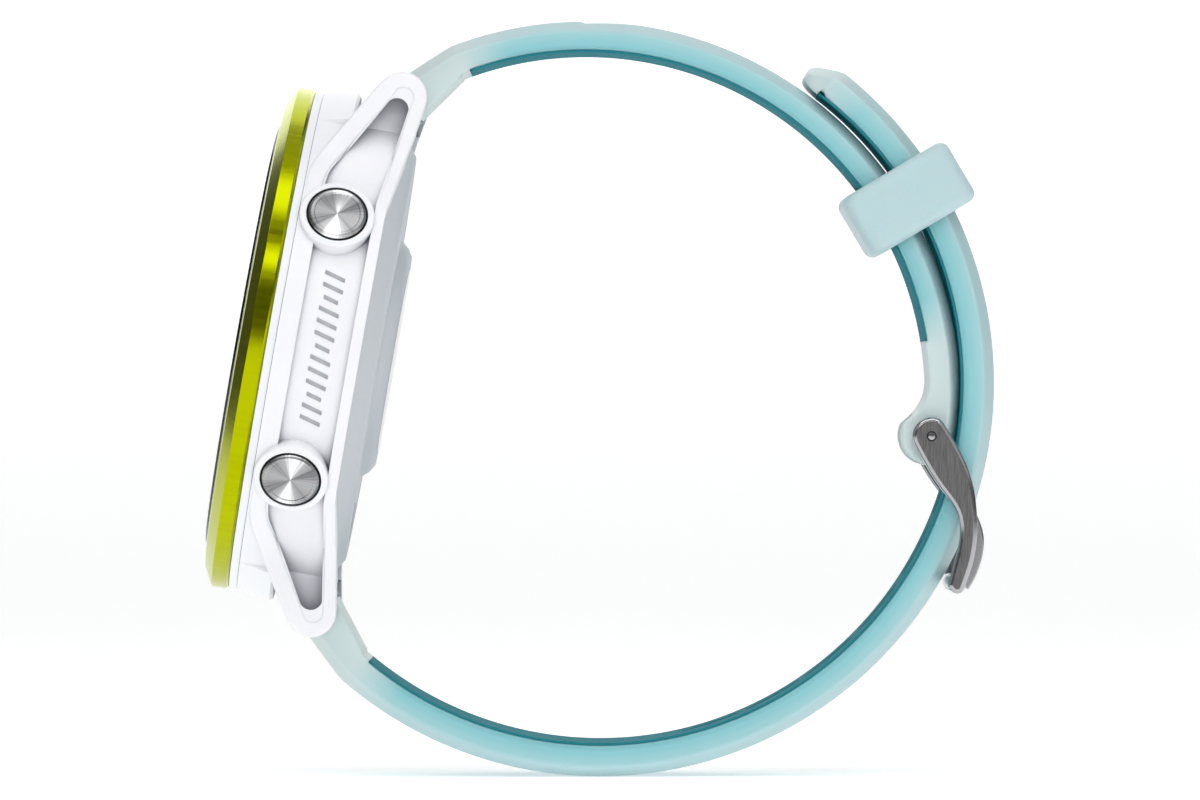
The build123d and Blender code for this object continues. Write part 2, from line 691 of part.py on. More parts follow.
with BuildPart() as rear_cover_seal:
    with BuildSketch(CASE.offset(SEAL_GROOVE_Z[0])):
        Circle(CAVITY_R - SEAL_GAP)
        Circle(SEAL_GROOVE_R + SEAL_GAP, mode=Mode.SUBTRACT)
    extrude(amount=SEAL_GROOVE_Z[1] - SEAL_GROOVE_Z[0])
save(rear_cover_seal, "rear_cover_seal")

with BuildPart() as rear_cover_screws:
    with BuildSketch(CASE.offset(COVER_Z + SCREW_SINK)):
        with PolarLocations(SCREW_R, 4, start_angle=SCREW_ANGLE):
            Circle(SCREW_HEAD_D / 2)
    extrude(amount=SCREW_HEAD_T - SCREW_SINK)
    with BuildSketch(CASE.offset(COVER_Z + SCREW_HEAD_T)):
        with PolarLocations(SCREW_R, 4, start_angle=SCREW_ANGLE):
            Circle(SCREW_D / 2)
    extrude(amount=SCREW_END_Z - COVER_Z - SCREW_HEAD_T)
    with BuildSketch(CASE.offset(COVER_Z + SCREW_SINK)):
        with PolarLocations(SCREW_R, 4, start_angle=SCREW_ANGLE):
            RegularPolygon(SOCKET_R, 6)
    extrude(amount=SOCKET_DEPTH, mode=Mode.SUBTRACT)
save(rear_cover_screws, "rear_cover_screws")

sensor_window = disc(WINDOW_R - FIT, 0, WINDOW_T)
save(sensor_window, "sensor_window")

SENSOR_BOARD_Z = WINDOW_T + PORT_WALL
sensor_board = disc(SENSOR_BOARD_R, SENSOR_BOARD_Z, SENSOR_BOARD_T)
save(sensor_board, "sensor_board")

with BuildPart() as sensor_leds:
    with BuildSketch(CASE.offset(SENSOR_BOARD_Z)):
        with GridLocations(LED_PITCH, 1, 2, 1):
            Rectangle(LED[0], LED[0])
        with PolarLocations(PHOTODIODE_R, 4, start_angle=SCREW_ANGLE):
            Rectangle(PHOTODIODE, PHOTODIODE)
    extrude(amount=-LED[1])
save(sensor_leds, "sensor_leds")

with BuildPart() as charging_contacts:
    with BuildSketch(CASE.offset(PORT_FLOOR_Z - CONTACT_PROUD)):
        with Locations((0, PORT_Y)):
            with GridLocations(CONTACT_PITCH, 1, 4, 1):
                Circle(CONTACT_D / 2)
    extrude(amount=PORT_TOP_Z - PORT_FLOOR_Z + CONTACT_PROUD + CONTACT_TAIL)
save(charging_contacts, "charging_contacts")

# ------------------------------------------------------------------ buttons
CAP_UNDER_R = CAP_R - CAP_T
CUP_R = CAP_UNDER_R + CAP_CUP_DEPTH
for name, angle in BUTTON_ANGLES.items():
    with BuildPart() as button:
        with BuildSketch(radial_plane(angle, CAP_UNDER_R)):
            Circle(CAP_D / 2)
        extrude(amount=CAP_T)
        chamfer(button.edges().sort_by(Axis(CASE.origin, radial_plane(angle, 0).z_dir))[-1], CAP_BEVEL)
        with BuildSketch(radial_plane(angle, CAP_UNDER_R)):
            Circle(CAP_CUP_D / 2)
        extrude(amount=CAP_CUP_DEPTH, mode=Mode.SUBTRACT)
        with BuildSketch(radial_plane(angle, STEM_END_R)):
            Circle(STEM_D / 2)
        extrude(amount=CUP_R - STEM_END_R)
        with BuildSketch(radial_plane(angle, CLIP_SEAT_R - FIT)):
            Circle(STEM_D)
            Circle(CLIP_NECK_D / 2, mode=Mode.SUBTRACT)
        extrude(amount=-CLIP_T, mode=Mode.SUBTRACT)
    save(button, f"button_{name}")

    with BuildPart() as clip:
        with BuildSketch(radial_plane(angle, CLIP_SEAT_R - FIT)):
            Circle(CLIP_D / 2)
            Circle(CLIP_NECK_D / 2, mode=Mode.SUBTRACT)
            with Locations((0, -CLIP_D / 2)):
                Rectangle(CLIP_MOUTH_W, CLIP_D, mode=Mode.SUBTRACT)
        extrude(amount=-CLIP_T)
    save(clip, f"button_clip_{name}")

    spring_length = CUP_R - CAP_SEAT_R - 2 * FIT - SPRING_WIRE_D
    spring_base = radial_plane(angle, CAP_SEAT_R + FIT + SPRING_WIRE_D / 2)
    save(coil_spring(spring_base, SPRING_COIL_D, spring_length, SPRING_TURNS), f"button_spring_{name}")

with BuildPart() as button_seals:
    for angle in BUTTON_ANGLES.values():
        with BuildSketch(radial_plane(angle, SEAL_R + FIT / 2)):
            Circle(SEAL_D / 2 - FIT / 2)
            Circle(STEM_D / 2 + STEM_GAP / 2, mode=Mode.SUBTRACT)
        extrude(amount=SEAL_T - FIT)
save(button_seals, "button_seals")

SWITCH_FACE_R = STEM_END_R - BUTTON_TRAVEL - SWITCH_GAP
with BuildPart() as tactile_switches:
    for angle in BUTTON_ANGLES.values():
        with BuildSketch(radial_plane(angle, CHASSIS_R_OUT)):
            Rectangle(*SWITCH)
        extrude(amount=SWITCH_FACE_R - CHASSIS_R_OUT - SWITCH_BUTTON_T)
        with BuildSketch(radial_plane(angle, CHASSIS_R_OUT)):
            Circle(SWITCH_BUTTON_D / 2)
        extrude(amount=SWITCH_FACE_R - CHASSIS_R_OUT)
save(tactile_switches, "tactile_switches")

# ------------------------------------------------------------------ strap
# What the plan of the strap keeps: full width at the lugs, tapering to the buckle.
with BuildPart() as strap_plan:
    with BuildSketch(Plane.XY.offset(-TAIL_R_OUT)):
        with BuildLine():
            Polyline(
                (-3 * TAIL_R_OUT, STRAP_W_LUG / 2),
                (TAPER_FROM_X, STRAP_W_LUG / 2),
                (TAPER_TO_X, STRAP_W / 2),
                (3 * TAIL_R_OUT, STRAP_W / 2),
                (3 * TAIL_R_OUT, -STRAP_W / 2),
                (TAPER_TO_X, -STRAP_W / 2),
                (TAPER_FROM_X, -STRAP_W_LUG / 2),
                (-3 * TAIL_R_OUT, -STRAP_W_LUG / 2),
                close=True,
            )
        make_face()
    extrude(amount=4 * TAIL_R_OUT)


def arc_band(r_in, r_out, start, end, centre=(0, 0)):
    """A stretch of band round a centre in the loop's plane, full width."""
    with BuildPart() as band:
        with BuildSketch(LOOP):
            with BuildLine():
                CenterArc(centre, r_in, start, end - start)
                Line(polar(r_in, end, centre), polar(r_out, end, centre))
                CenterArc(centre, r_out, start, end - start)
                Line(polar(r_out, start, centre), polar(r_in, start, centre))
            make_face()
        extrude(amount=STRAP_W_LUG / 2, both=True)
    return band


def strap_knuckle(bar, middle, thickness):
    """The thick end round a spring bar, running into the band."""
    with BuildPart() as knuckle:
        with BuildSketch(LOOP):
            with Locations(bar):
                Circle(KNUCKLE_R)
            with Locations(middle):
                Circle(thickness / 2)
            make_hull()
        extrude(amount=STRAP_W_LUG / 2, both=True)
    return knuckle


def knob_room(end):
    """Bar bore and knob slot to take out of a strap's end; end is +1 at 12 o'clock, -1 at 6."""
    place = SIDE.from_local_coords(Vector(end * BAR_Y, BAR_Z, 0))
    knob_way = CASE.y_dir * (end * KNOB_DIRECTION[0]) + CASE.z_dir * KNOB_DIRECTION[1]
    slot_low = KNOB_X - RELEASE_TRAVEL - KNOB_D / 2 - RELEASE_SLACK
    slot_high = KNOB_X + KNOB_D / 2 + RELEASE_SLACK
    with BuildPart() as room:
        with BuildSketch(Plane(origin=place, x_dir=CASE.y_dir, z_dir=CASE.x_dir)):
            Circle(BAR_D / 2 + FIT)
        extrude(amount=STRAP_W_LUG, both=True)
        middle = place + CASE.x_dir * ((slot_low + slot_high) / 2)
        with BuildSketch(Plane(origin=middle, x_dir=CASE.x_dir, z_dir=knob_way)):
            Rectangle(slot_high - slot_low, KNOB_D + 2 * RELEASE_SLACK)
        extrude(amount=2 * KNUCKLE_R)
    return room


def tang_window(pitches):
    """One oblong hole of the tail half, this many pitches from the one in use."""
    angle = HOLE_ANGLE + pitches * degrees(HOLE_PITCH / TAIL_R_OUT)
    across = Plane(
        origin=LOOP.from_local_coords(Vector(*polar(TAIL_R_IN - CUT_OVER, angle), 0)),
        x_dir=LOOP.y_dir * cos(radians(angle)) - LOOP.x_dir * sin(radians(angle)),
        z_dir=LOOP.x_dir * cos(radians(angle)) + LOOP.y_dir * sin(radians(angle)),
    )
    with BuildPart() as window:
        with BuildSketch(across):
            RectangleRounded(HOLE_LENGTH, HOLE_W, HOLE_CORNER_R)
        extrude(amount=TAIL_T + 2 * CUT_OVER)
    return window


tail_lining_span = (TAIL_LINING_FROM, TAIL_LINING_TO)
tail_lining_room = arc_band(TAIL_R_IN - CUT_OVER, TAIL_R_IN + LINING_T, *tail_lining_span)
with BuildPart() as tail_strap:
    with BuildSketch(LOOP):
        with BuildLine():
            CenterArc((0, 0), TAIL_R_IN, TAIL_LUG_ANGLE, TAIL_LINING_TO - TAIL_LUG_ANGLE)
            Polyline(
                polar(TAIL_R_IN, TAIL_LINING_TO),
                polar(*TAIL_TIP[0]),
                polar(*TAIL_TIP[1]),
                polar(TAIL_R_OUT, TAIL_TIP_CHAMFER_ANGLE),
            )
            CenterArc((0, 0), TAIL_R_OUT, TAIL_LUG_ANGLE, TAIL_TIP_CHAMFER_ANGLE - TAIL_LUG_ANGLE)
            Line(polar(TAIL_R_IN, TAIL_LUG_ANGLE), polar(TAIL_R_OUT, TAIL_LUG_ANGLE))
        make_face()
    extrude(amount=STRAP_W_LUG / 2, both=True)
    add(strap_knuckle(low_bar, polar(TAIL_R_IN + TAIL_T / 2, TAIL_BLEND_ANGLE), TAIL_T).part)
    add(tail_lining_room.part, mode=Mode.SUBTRACT)
    add(knob_room(-1).part, mode=Mode.SUBTRACT)
    for pitches in range(-HOLES_TOWARDS_LUG, HOLES_TOWARDS_TIP + 1):
        add(tang_window(pitches).part, mode=Mode.SUBTRACT)
    add(strap_plan.part, mode=Mode.INTERSECT)
save(tail_strap, "tail_strap")

with BuildPart() as tail_strap_lining:
    add(arc_band(TAIL_R_IN, TAIL_R_IN + LINING_T, *tail_lining_span).part)
    for pitches in range(-HOLES_TOWARDS_LUG, HOLES_TOWARDS_TIP + 1):
        add(tang_window(pitches).part, mode=Mode.SUBTRACT)
    add(strap_plan.part, mode=Mode.INTERSECT)
save(tail_strap_lining, "tail_strap_lining")

buckle_lining_span = (BUCKLE_LINING_FROM, BUCKLE_LINING_TO, BUCKLE_CENTRE)
buckle_lining_room = arc_band(BUCKLE_R_IN - CUT_OVER, BUCKLE_R_IN + LINING_T, *buckle_lining_span)
with BuildPart() as buckle_strap:
    add(arc_band(BUCKLE_R_IN, BUCKLE_R_OUT, PIN_ANGLE, BUCKLE_LUG_ANGLE, BUCKLE_CENTRE).part)
    blend = polar(BUCKLE_R_OUT - BUCKLE_T / 2, BUCKLE_BLEND_ANGLE, BUCKLE_CENTRE)
    add(strap_knuckle(high_bar, blend, BUCKLE_T).part)
    with BuildSketch(LOOP):
        with Locations(pin_at):
            Circle(BULGE_R)
        with Locations(polar(BUCKLE_R_IN + BUCKLE_T / 2, BULGE_BLEND_ANGLE, BUCKLE_CENTRE)):
            Circle(BUCKLE_T / 2)
        make_hull()
    extrude(amount=STRAP_W / 2, both=True)
    # the tail half lies on the outside of this one
    with BuildSketch(LOOP):
        Circle(2 * TAIL_R_OUT)
        Circle(TAIL_R_IN - STRAP_LAY_GAP, mode=Mode.SUBTRACT)
        with Locations((-2 * TAIL_R_OUT, 0)):
            Rectangle(4 * TAIL_R_OUT, 4 * TAIL_R_OUT, mode=Mode.SUBTRACT)
    extrude(amount=STRAP_W_LUG, both=True, mode=Mode.SUBTRACT)
    add(buckle_lining_room.part, mode=Mode.SUBTRACT)
    add(knob_room(1).part, mode=Mode.SUBTRACT)
    with BuildSketch(LOOP):
        with Locations(pin_at):
            Circle(PIN_BODY_D / 2 + PIN_GAP)
    extrude(amount=STRAP_W, both=True, mode=Mode.SUBTRACT)
    with BuildSketch(LOOP):
        with Locations((pin_at[0], pin_at[1] - BULGE_R / 2)):
            Rectangle(4 * BULGE_R, 2 * BULGE_R + TANG_EYE_R)
    extrude(amount=TANG_W / 2 + TANG_SLOT_GAP, both=True, mode=Mode.SUBTRACT)
    add(strap_plan.part, mode=Mode.INTERSECT)
save(buckle_strap, "buckle_strap")

with BuildPart() as buckle_strap_lining:
    add(arc_band(BUCKLE_R_IN, BUCKLE_R_IN + LINING_T, *buckle_lining_span).part)
    add(strap_plan.part, mode=Mode.INTERSECT)
save(buckle_strap_lining, "buckle_strap_lining")

# ------------------------------------------------------------------ quick-release spring bars
for name, end in (("top", 1), ("bottom", -1)):
    bar_line = SIDE.from_local_coords(Vector(end * BAR_Y, BAR_Z, 0))
    knob_way = CASE.y_dir * (end * KNOB_DIRECTION[0]) + CASE.z_dir * KNOB_DIRECTION[1]
    bar_plane = Plane(origin=bar_line, x_dir=CASE.y_dir, z_dir=CASE.x_dir)
    with BuildPart() as tube:
        with BuildSketch(bar_plane.offset(-BAR_END)):
            Circle(BAR_D / 2)
        extrude(amount=2 * BAR_END)
        with BuildSketch(bar_plane.offset(-BAR_TIP_X)):
            Circle(BAR_TIP_D / 2)
        extrude(amount=BAR_TIP_X - BAR_END)
        with BuildSketch(bar_plane.offset(BAR_BORE_FROM)):
            Circle(BAR_BORE_D / 2)
        extrude(amount=BAR_END, mode=Mode.SUBTRACT)
        slot_low = KNOB_X - RELEASE_TRAVEL - KNOB_D / 2 - RELEASE_SLACK
        slot_high = KNOB_X + KNOB_D / 2 + RELEASE_SLACK
        slot_middle = bar_line + CASE.x_dir * ((slot_low + slot_high) / 2)
        with BuildSketch(Plane(origin=slot_middle, x_dir=CASE.x_dir, z_dir=knob_way)):
            Rectangle(slot_high - slot_low, KNOB_D + 2 * FIT)
        extrude(amount=BAR_D, mode=Mode.SUBTRACT)
    save(tube, f"spring_bar_tube_{name}")

    with BuildPart() as pin:
        with BuildSketch(bar_plane.offset(PIN_SHAFT_X)):
            Circle(BAR_BORE_D / 2 - FIT)
        extrude(amount=BAR_END - PIN_SHAFT_X)
        with BuildSketch(bar_plane.offset(BAR_END)):
            Circle(BAR_TIP_D / 2)
        extrude(amount=BAR_TIP_X - BAR_END)
        with BuildSketch(Plane(origin=bar_line + CASE.x_dir * KNOB_X, x_dir=CASE.x_dir, z_dir=knob_way)):
            Circle(KNOB_D / 2)
        extrude(amount=KNOB_LENGTH)
    save(pin, f"release_pin_{name}")

    bar_spring_length = PIN_SHAFT_X - BAR_BORE_FROM - 2 * FIT - SPRING_WIRE_D
    bar_spring_base = bar_plane.offset(BAR_BORE_FROM + FIT + SPRING_WIRE_D / 2)
    bar_spring = coil_spring(bar_spring_base, BAR_BORE_D - 2 * FIT, bar_spring_length, BAR_SPRING_TURNS)
    save(bar_spring, f"release_spring_{name}")

# ------------------------------------------------------------------ keeper
keeper_sag = (KEEPER_LENGTH / 2) ** 2 / (2 * BUCKLE_R_IN)  # of the curved strap under the straight keeper
KEEPER_BOTTOM = BUCKLE_R_IN - hypot(*BUCKLE_CENTRE) - keeper_sag - KEEPER_GAP
KEEPER_TOP = TAIL_R_OUT + KEEPER_GAP
KEEPER_OPEN_W = STRAP_W + 2 * KEEPER_SIDE_GAP
keeper_out = LOOP.x_dir * cos(radians(KEEPER_ANGLE)) + LOOP.y_dir * sin(radians(KEEPER_ANGLE))
keeper_along = LOOP.y_dir * cos(radians(KEEPER_ANGLE)) - LOOP.x_dir * sin(radians(KEEPER_ANGLE))
keeper_middle = LOOP.origin + keeper_out * ((KEEPER_BOTTOM + KEEPER_TOP) / 2)
keeper_plane = Plane(origin=keeper_middle, x_dir=(0, 1, 0), z_dir=keeper_along)
keeper_open_h = KEEPER_TOP - KEEPER_BOTTOM
with BuildPart() as keeper:
    with BuildSketch(keeper_plane):
        RectangleRounded(KEEPER_OPEN_W + 2 * KEEPER_WALL, keeper_open_h + 2 * KEEPER_WALL, KEEPER_CORNER_R)
    extrude(amount=KEEPER_LENGTH / 2, both=True)
    ends = keeper.faces().filter_by(keeper_plane)
    fillet(ends.edges(), KEEPER_EDGE)
    with BuildSketch(keeper_plane):
        RectangleRounded(KEEPER_OPEN_W, keeper_open_h, KEEPER_OPEN_CORNER_R)
    extrude(amount=KEEPER_LENGTH, both=True, mode=Mode.SUBTRACT)
save(keeper, "keeper")

# ------------------------------------------------------------------ buckle
PIN_LOOP = Plane(
    origin=LOOP.from_local_coords(Vector(*pin_at, 0)), x_dir=LOOP.x_dir, z_dir=LOOP.z_dir
)
with BuildPart() as buckle_pin:
    with BuildSketch(PIN_LOOP):
        Circle(PIN_BODY_D / 2)
    extrude(amount=STRAP_W / 2, both=True)
    with BuildSketch(PIN_LOOP):
        Circle(PIN_TIP_D / 2)
    extrude(amount=ARM_IN_Y + ARM_T, both=True)
save(buckle_pin, "buckle_pin")

with BuildPart() as buckle_arm:
    with BuildSketch(PIN_LOOP):
        with BuildLine():
            Spline(*ARM_OUTER)
            ThreePointArc(ARM_OUTER[-1], ARM_FOOT, ARM_INNER[0])
            Spline(*ARM_INNER)
            Line(ARM_INNER[-1], ARM_OUTER[0])
        make_face()
        Circle(ARM_EYE_R)
    extrude(amount=ARM_T)
with BuildPart() as buckle_frame:
    add(buckle_arm.part.moved(Location(PIN_LOOP.z_dir * ARM_IN_Y)))
    add(buckle_arm.part.moved(Location(PIN_LOOP.z_dir * (-ARM_IN_Y - ARM_T))))
    with BuildSketch(PIN_LOOP):
        with Locations(END_BAR):
            Circle(END_BAR_D / 2)
    extrude(amount=ARM_IN_Y + ARM_T / 2, both=True)
    with BuildSketch(PIN_LOOP):
        Circle(PIN_TIP_D / 2 + PIN_GAP)
    extrude(amount=2 * STRAP_W, both=True, mode=Mode.SUBTRACT)
    # notch for the tang's tip, on the outer half of the end bar
    with BuildSketch(PIN_LOOP):
        with Locations(TANG_NOTCH):
            Rectangle(END_BAR_D, 2 * END_BAR_D, rotation=TANG_NOTCH_TILT)
    extrude(amount=TANG_W / 2 + TANG_SLOT_GAP, both=True, mode=Mode.SUBTRACT)
save(buckle_frame, "buckle_frame")

with BuildPart() as buckle_tang:
    with BuildSketch(PIN_LOOP):
        with BuildLine():
            Spline(*TANG_LINE)
        trace(line_width=TANG_T)
        Circle(TANG_EYE_R)
        Circle(PIN_BODY_D / 2 + PIN_GAP, mode=Mode.SUBTRACT)
    extrude(amount=TANG_W / 2, both=True)
save(buckle_tang, "buckle_tang")
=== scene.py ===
"""Looks of a GPS running watch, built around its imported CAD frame.

Lengths are millimetres, except in the lights, floor and camera at the end, which are metres.
"""
import json
from math import atan2, cos, hypot, pi, radians, sin

import bmesh
import bpy
import numpy as np
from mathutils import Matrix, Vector


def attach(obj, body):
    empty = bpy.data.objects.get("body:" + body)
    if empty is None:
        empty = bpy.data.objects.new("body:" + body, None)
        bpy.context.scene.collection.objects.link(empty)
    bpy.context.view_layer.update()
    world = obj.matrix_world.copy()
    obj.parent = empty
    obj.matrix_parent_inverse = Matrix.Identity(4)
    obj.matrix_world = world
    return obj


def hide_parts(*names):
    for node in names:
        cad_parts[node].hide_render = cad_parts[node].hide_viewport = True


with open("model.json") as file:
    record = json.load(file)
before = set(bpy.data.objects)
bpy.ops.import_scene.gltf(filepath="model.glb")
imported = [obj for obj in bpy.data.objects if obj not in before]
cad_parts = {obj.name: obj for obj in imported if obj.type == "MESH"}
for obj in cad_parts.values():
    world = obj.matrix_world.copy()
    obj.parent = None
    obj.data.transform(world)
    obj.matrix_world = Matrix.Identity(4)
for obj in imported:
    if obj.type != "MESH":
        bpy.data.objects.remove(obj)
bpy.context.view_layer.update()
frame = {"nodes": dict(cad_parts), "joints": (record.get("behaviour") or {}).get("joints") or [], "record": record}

MM = 0.001
SKIN_SEAM = 1e-7  # metres: corners closer than this are one corner
SKIN_ANGLE = 35.0  # degrees: a CAD edge sharper than this is softened or kept sharp
AT_POLE = 0.001  # a section's ends nearer than this to the axis, or to each other, meet

# ------------------------------------------------------------------ places, from the frame
joints = {joint["name"]: joint for joint in frame["joints"]}
mounts = {mount["name"]: mount for mount in frame["record"]["mounts"]}
LOOP = np.array(joints["keeper_slide"]["pos_m"]) / MM
PIN = np.array(joints["buckle_frame_swing"]["pos_m"]) / MM - LOOP
GLASS_TOP = 14.3  # heights along OUT are counted from the case's back
THREE = np.array([0.0, -1.0, 0.0])  # from the case's middle to 3 o'clock
OUT = np.array(mounts["display_face"]["axis"])  # out of the dial
TWELVE = np.cross(OUT, THREE)
CASE = np.array(mounts["display_face"]["pos_m"]) / MM - OUT * GLASS_TOP

# ------------------------------------------------------------------ driving sizes
CASE_R = 23.4
LUG_X = 14.8  # from the dial's axis to a lug's outer face
LUG_EASE = 24  # how sharply the case's drum turns into the lug's flat
FRONT_TOP, BEZEL_SEAT = 11.4, 12.9
BUTTON_HEIGHT = 7.13
TAIL_R = (33.25, 36.4)  # inner and outer radius about the loop's centre
BUCKLE_R = (31.7, 34.6)  # the same about BUCKLE_CENTRE
BUCKLE_CENTRE = np.array([-1.35, -1.30])
LINED = {"tail": (-129.6, 52.9), "buckle": (9.2, 109.5)}  # degrees that each lining covers
LINING = 0.2
LUG_WIDTH, BUCKLE_WIDTH = 22.0, 20.0
TAPER = (-15.0, 8.0)  # where the strap's width starts and stops narrowing, along X
TAIL_START, BUCKLE_START, BUCKLE_NECK = -131.0, 111.0, 3.0  # degrees
LAY_GAP = 0.1  # between the buckle half and the tail half that lies on it
KNUCKLE_R = 2.1
BULGE_R = 2.72  # round the buckle's pin
BAR = (23.4, 3.3)  # the spring bars: up and out from the case's middle
EDGE_RUN, EDGE_DROP = 2.2, 0.9  # the bevel along the strap's outer edges
HOLE_HALF_LONG, HOLE_HALF_WIDE, HOLE_CORNER = 2.7, 1.8, 0.9
HOLE_PITCH, HOLE_MIDDLE, HOLE_COUNT = 7.0, -17.0, 11  # the middle hole's place is in degrees
SLOT_HALF_WIDE = 1.8  # the buckle half's slot for the tang


# ------------------------------------------------------------------ meshes
def build(name, points, faces, uv=None, smooth=True):
    """A mesh object from vertex rows in millimetres and faces; uv holds one pair for each vertex."""
    mesh = bpy.data.meshes.new(name)
    mesh.from_pydata((np.asarray(points) * MM).tolist(), [], faces)
    if uv is not None:
        corners = np.zeros(len(mesh.loops), np.int32)
        mesh.loops.foreach_get("vertex_index", corners)
        layer = mesh.uv_layers.new(name="run")
        spread = np.asarray(uv, np.float32)[corners]
        first, size = np.zeros((2, len(mesh.polygons)), np.int32)
        mesh.polygons.foreach_get("loop_start", first)
        mesh.polygons.foreach_get("loop_total", size)
        top = np.repeat(np.maximum.reduceat(spread[:, 0], first), size)
        spread[:, 0] += top - spread[:, 0] > 0.5  # the last face of a ring runs up to 1, not back to 0
        layer.data.foreach_set("uv", spread.ravel())
    mesh.validate()
    mesh.polygons.foreach_set("use_smooth", np.full(len(mesh.polygons), smooth))
    piece = bpy.data.objects.new(name, mesh)
    bpy.context.scene.collection.objects.link(piece)
    return piece


def grid_faces(rows, columns, wrap_rows=False, wrap_columns=False):
    """Quads of a rows by columns grid of vertices, closed on itself where asked."""
    index = np.arange(rows * columns).reshape(rows, columns)
    if wrap_rows:
        index = np.vstack([index, index[:1]])
    if wrap_columns:
        index = np.hstack([index, index[:, :1]])
    corners = [index[:-1, :-1], index[1:, :-1], index[1:, 1:], index[:-1, 1:]]
    return np.stack(corners, axis=-1).reshape(-1, 4).tolist()


def end_faces(rows, columns):
    """The two faces that close a tube of rows by columns vertices: its first row and its last."""
    return [list(range(columns)), list(range((rows - 1) * columns, rows * columns))]


def face_outwards(piece):
    """Turns every face of a closed piece to point out of it."""
    shell = bmesh.new()
    shell.from_mesh(piece.data)
    bmesh.ops.remove_doubles(shell, verts=shell.verts, dist=SKIN_SEAM)
    bmesh.ops.recalc_face_normals(shell, faces=shell.faces)
    shell.to_mesh(piece.data)
    shell.free()
    return piece


def keep_flats_flat(piece, sharp=None):
    """Shades big faces flat and lets their small rounded edges take up the turn."""
    if sharp is not None:
        piece.data.set_sharp_from_angle(angle=radians(sharp))
    weigh = piece.modifiers.new("even_shading", "WEIGHTED_NORMAL")
    weigh.keep_sharp = True
    return piece


def rounded(corners, steps=4, closed=True):
    """A 2-D outline with each corner (x, y, radius) turned into an arc tangent to its two sides."""
    made = []
    count = len(corners)
    for i, (x, y, radius) in enumerate(corners):
        here = np.array([x, y])
        before = np.array(corners[i - 1][:2]) - here
        after = np.array(corners[(i + 1) % count][:2]) - here
        if radius == 0 or (not closed and i in (0, count - 1)):
            made.append(here[None])
            continue
        before, after = before / hypot(*before), after / hypot(*after)
        half = np.arccos(np.clip(before @ after, -1, 1)) / 2
        middle = here + (before + after) / hypot(*(before + after)) * radius / sin(half)
        first = here + before * radius / np.tan(half) - middle
        last = here + after * radius / np.tan(half) - middle
        turn = atan2(first[0] * last[1] - first[1] * last[0], first @ last)
        angles = atan2(first[1], first[0]) + np.linspace(0, turn, steps + 1)
        made.append(middle + radius * np.stack([np.cos(angles), np.sin(angles)], axis=1))
    return np.vstack(made)


def revolved(name, section, centre, axis, side, steps=192):
    """A closed ring or plug: each (radius, height) of a section turned about an axis through centre.

    A point is centre + radius * (cos a * side + sin a * across) + height * axis, at the angle a. u runs round
    the axis and v along the section. A section that starts and ends at radius 0 is closed by its poles.
    """
    across = np.cross(axis, side)
    angle = np.linspace(0, 2 * pi, steps, endpoint=False)[:, None, None]
    radius, height = section[None, :, 0, None], section[None, :, 1, None]
    points = centre + radius * (np.cos(angle) * side + np.sin(angle) * across) + height * axis
    closed = hypot(*(section[0] - section[-1])) > AT_POLE and section[0, 0] > AT_POLE
    faces = grid_faces(steps, len(section), wrap_rows=True, wrap_columns=closed)
    lengths = np.concatenate([[0], np.cumsum(np.hypot(*np.diff(section, axis=0).T))])
    u = np.repeat(np.arange(steps) / steps, len(section))
    v = np.tile(lengths / lengths[-1], steps)
    return face_outwards(build(name, points.reshape(-1, 3), faces, np.stack([u, v], axis=1)))


def turned(name, corners, steps=192):
    """A ring turned about the dial's axis from (radius, height, corner radius) points."""
    return revolved(name, rounded(corners), CASE, OUT, THREE, steps)


def loop_to_row(flat, across):
    """Puts points of the loop's plane at a distance across it; both are arrays."""
    return np.stack([LOOP[0] + flat[..., 0], across, LOOP[2] + flat[..., 1]], axis=-1)


def strap_width(flat):
    """The strap's full width where it passes these points: wide at the lugs, tapering to the buckle."""
    share = np.clip((flat[..., 0] + LOOP[0] - TAPER[0]) / (TAPER[1] - TAPER[0]), 0, 1)
    return LUG_WIDTH + (BUCKLE_WIDTH - LUG_WIDTH) * share


def ribbon(name, inner, outer, section, narrowing=None):
    """A band carried along pairs of points on its inner and outer face.

    The section lists (inset from the band's edge, inset from the inner face, inset from the outer face) with
    one of the last two left None. It describes one side and is mirrored. Insets stop at half the thickness.
    """
    stations = len(inner)
    thickness = np.hypot(*(outer - inner).T)[:, None]
    half = strap_width((inner + outer) / 2)[:, None] / 2
    if narrowing is not None:
        half = half - narrowing[:, None]
    inset = np.array([row[0] for row in section])[None]
    low = np.array([row[1] if row[1] is not None else np.nan for row in section])[None]
    high = np.array([row[2] if row[2] is not None else np.nan for row in section])[None]
    share = np.where(np.isnan(low), 1 - np.minimum(high / thickness, 0.5), np.minimum(low / thickness, 0.5))
    across = half - inset
    share = np.concatenate([share, share[:, ::-1]], axis=1)
    across = np.concatenate([across, -across[:, ::-1]], axis=1)
    flat = inner[:, None] + (outer - inner)[:, None] * share[..., None]
    points = loop_to_row(flat, across).reshape(-1, 3)
    columns = across.shape[1]
    faces = grid_faces(stations, columns, wrap_columns=True) + end_faces(stations, columns)
    return face_outwards(build(name, points, faces))


def tangents(middle_a, radius_a, middle_b, radius_b):
    """Unit normals of the two lines that touch both circles, and the direction from a to b."""
    along = middle_b - middle_a
    distance = hypot(*along)
    along = along / distance
    aside = np.array([-along[1], along[0]])
    lean = (radius_a - radius_b) / distance
    rise = np.sqrt(1 - lean * lean)
    return along * lean + aside * rise, along * lean - aside * rise, along


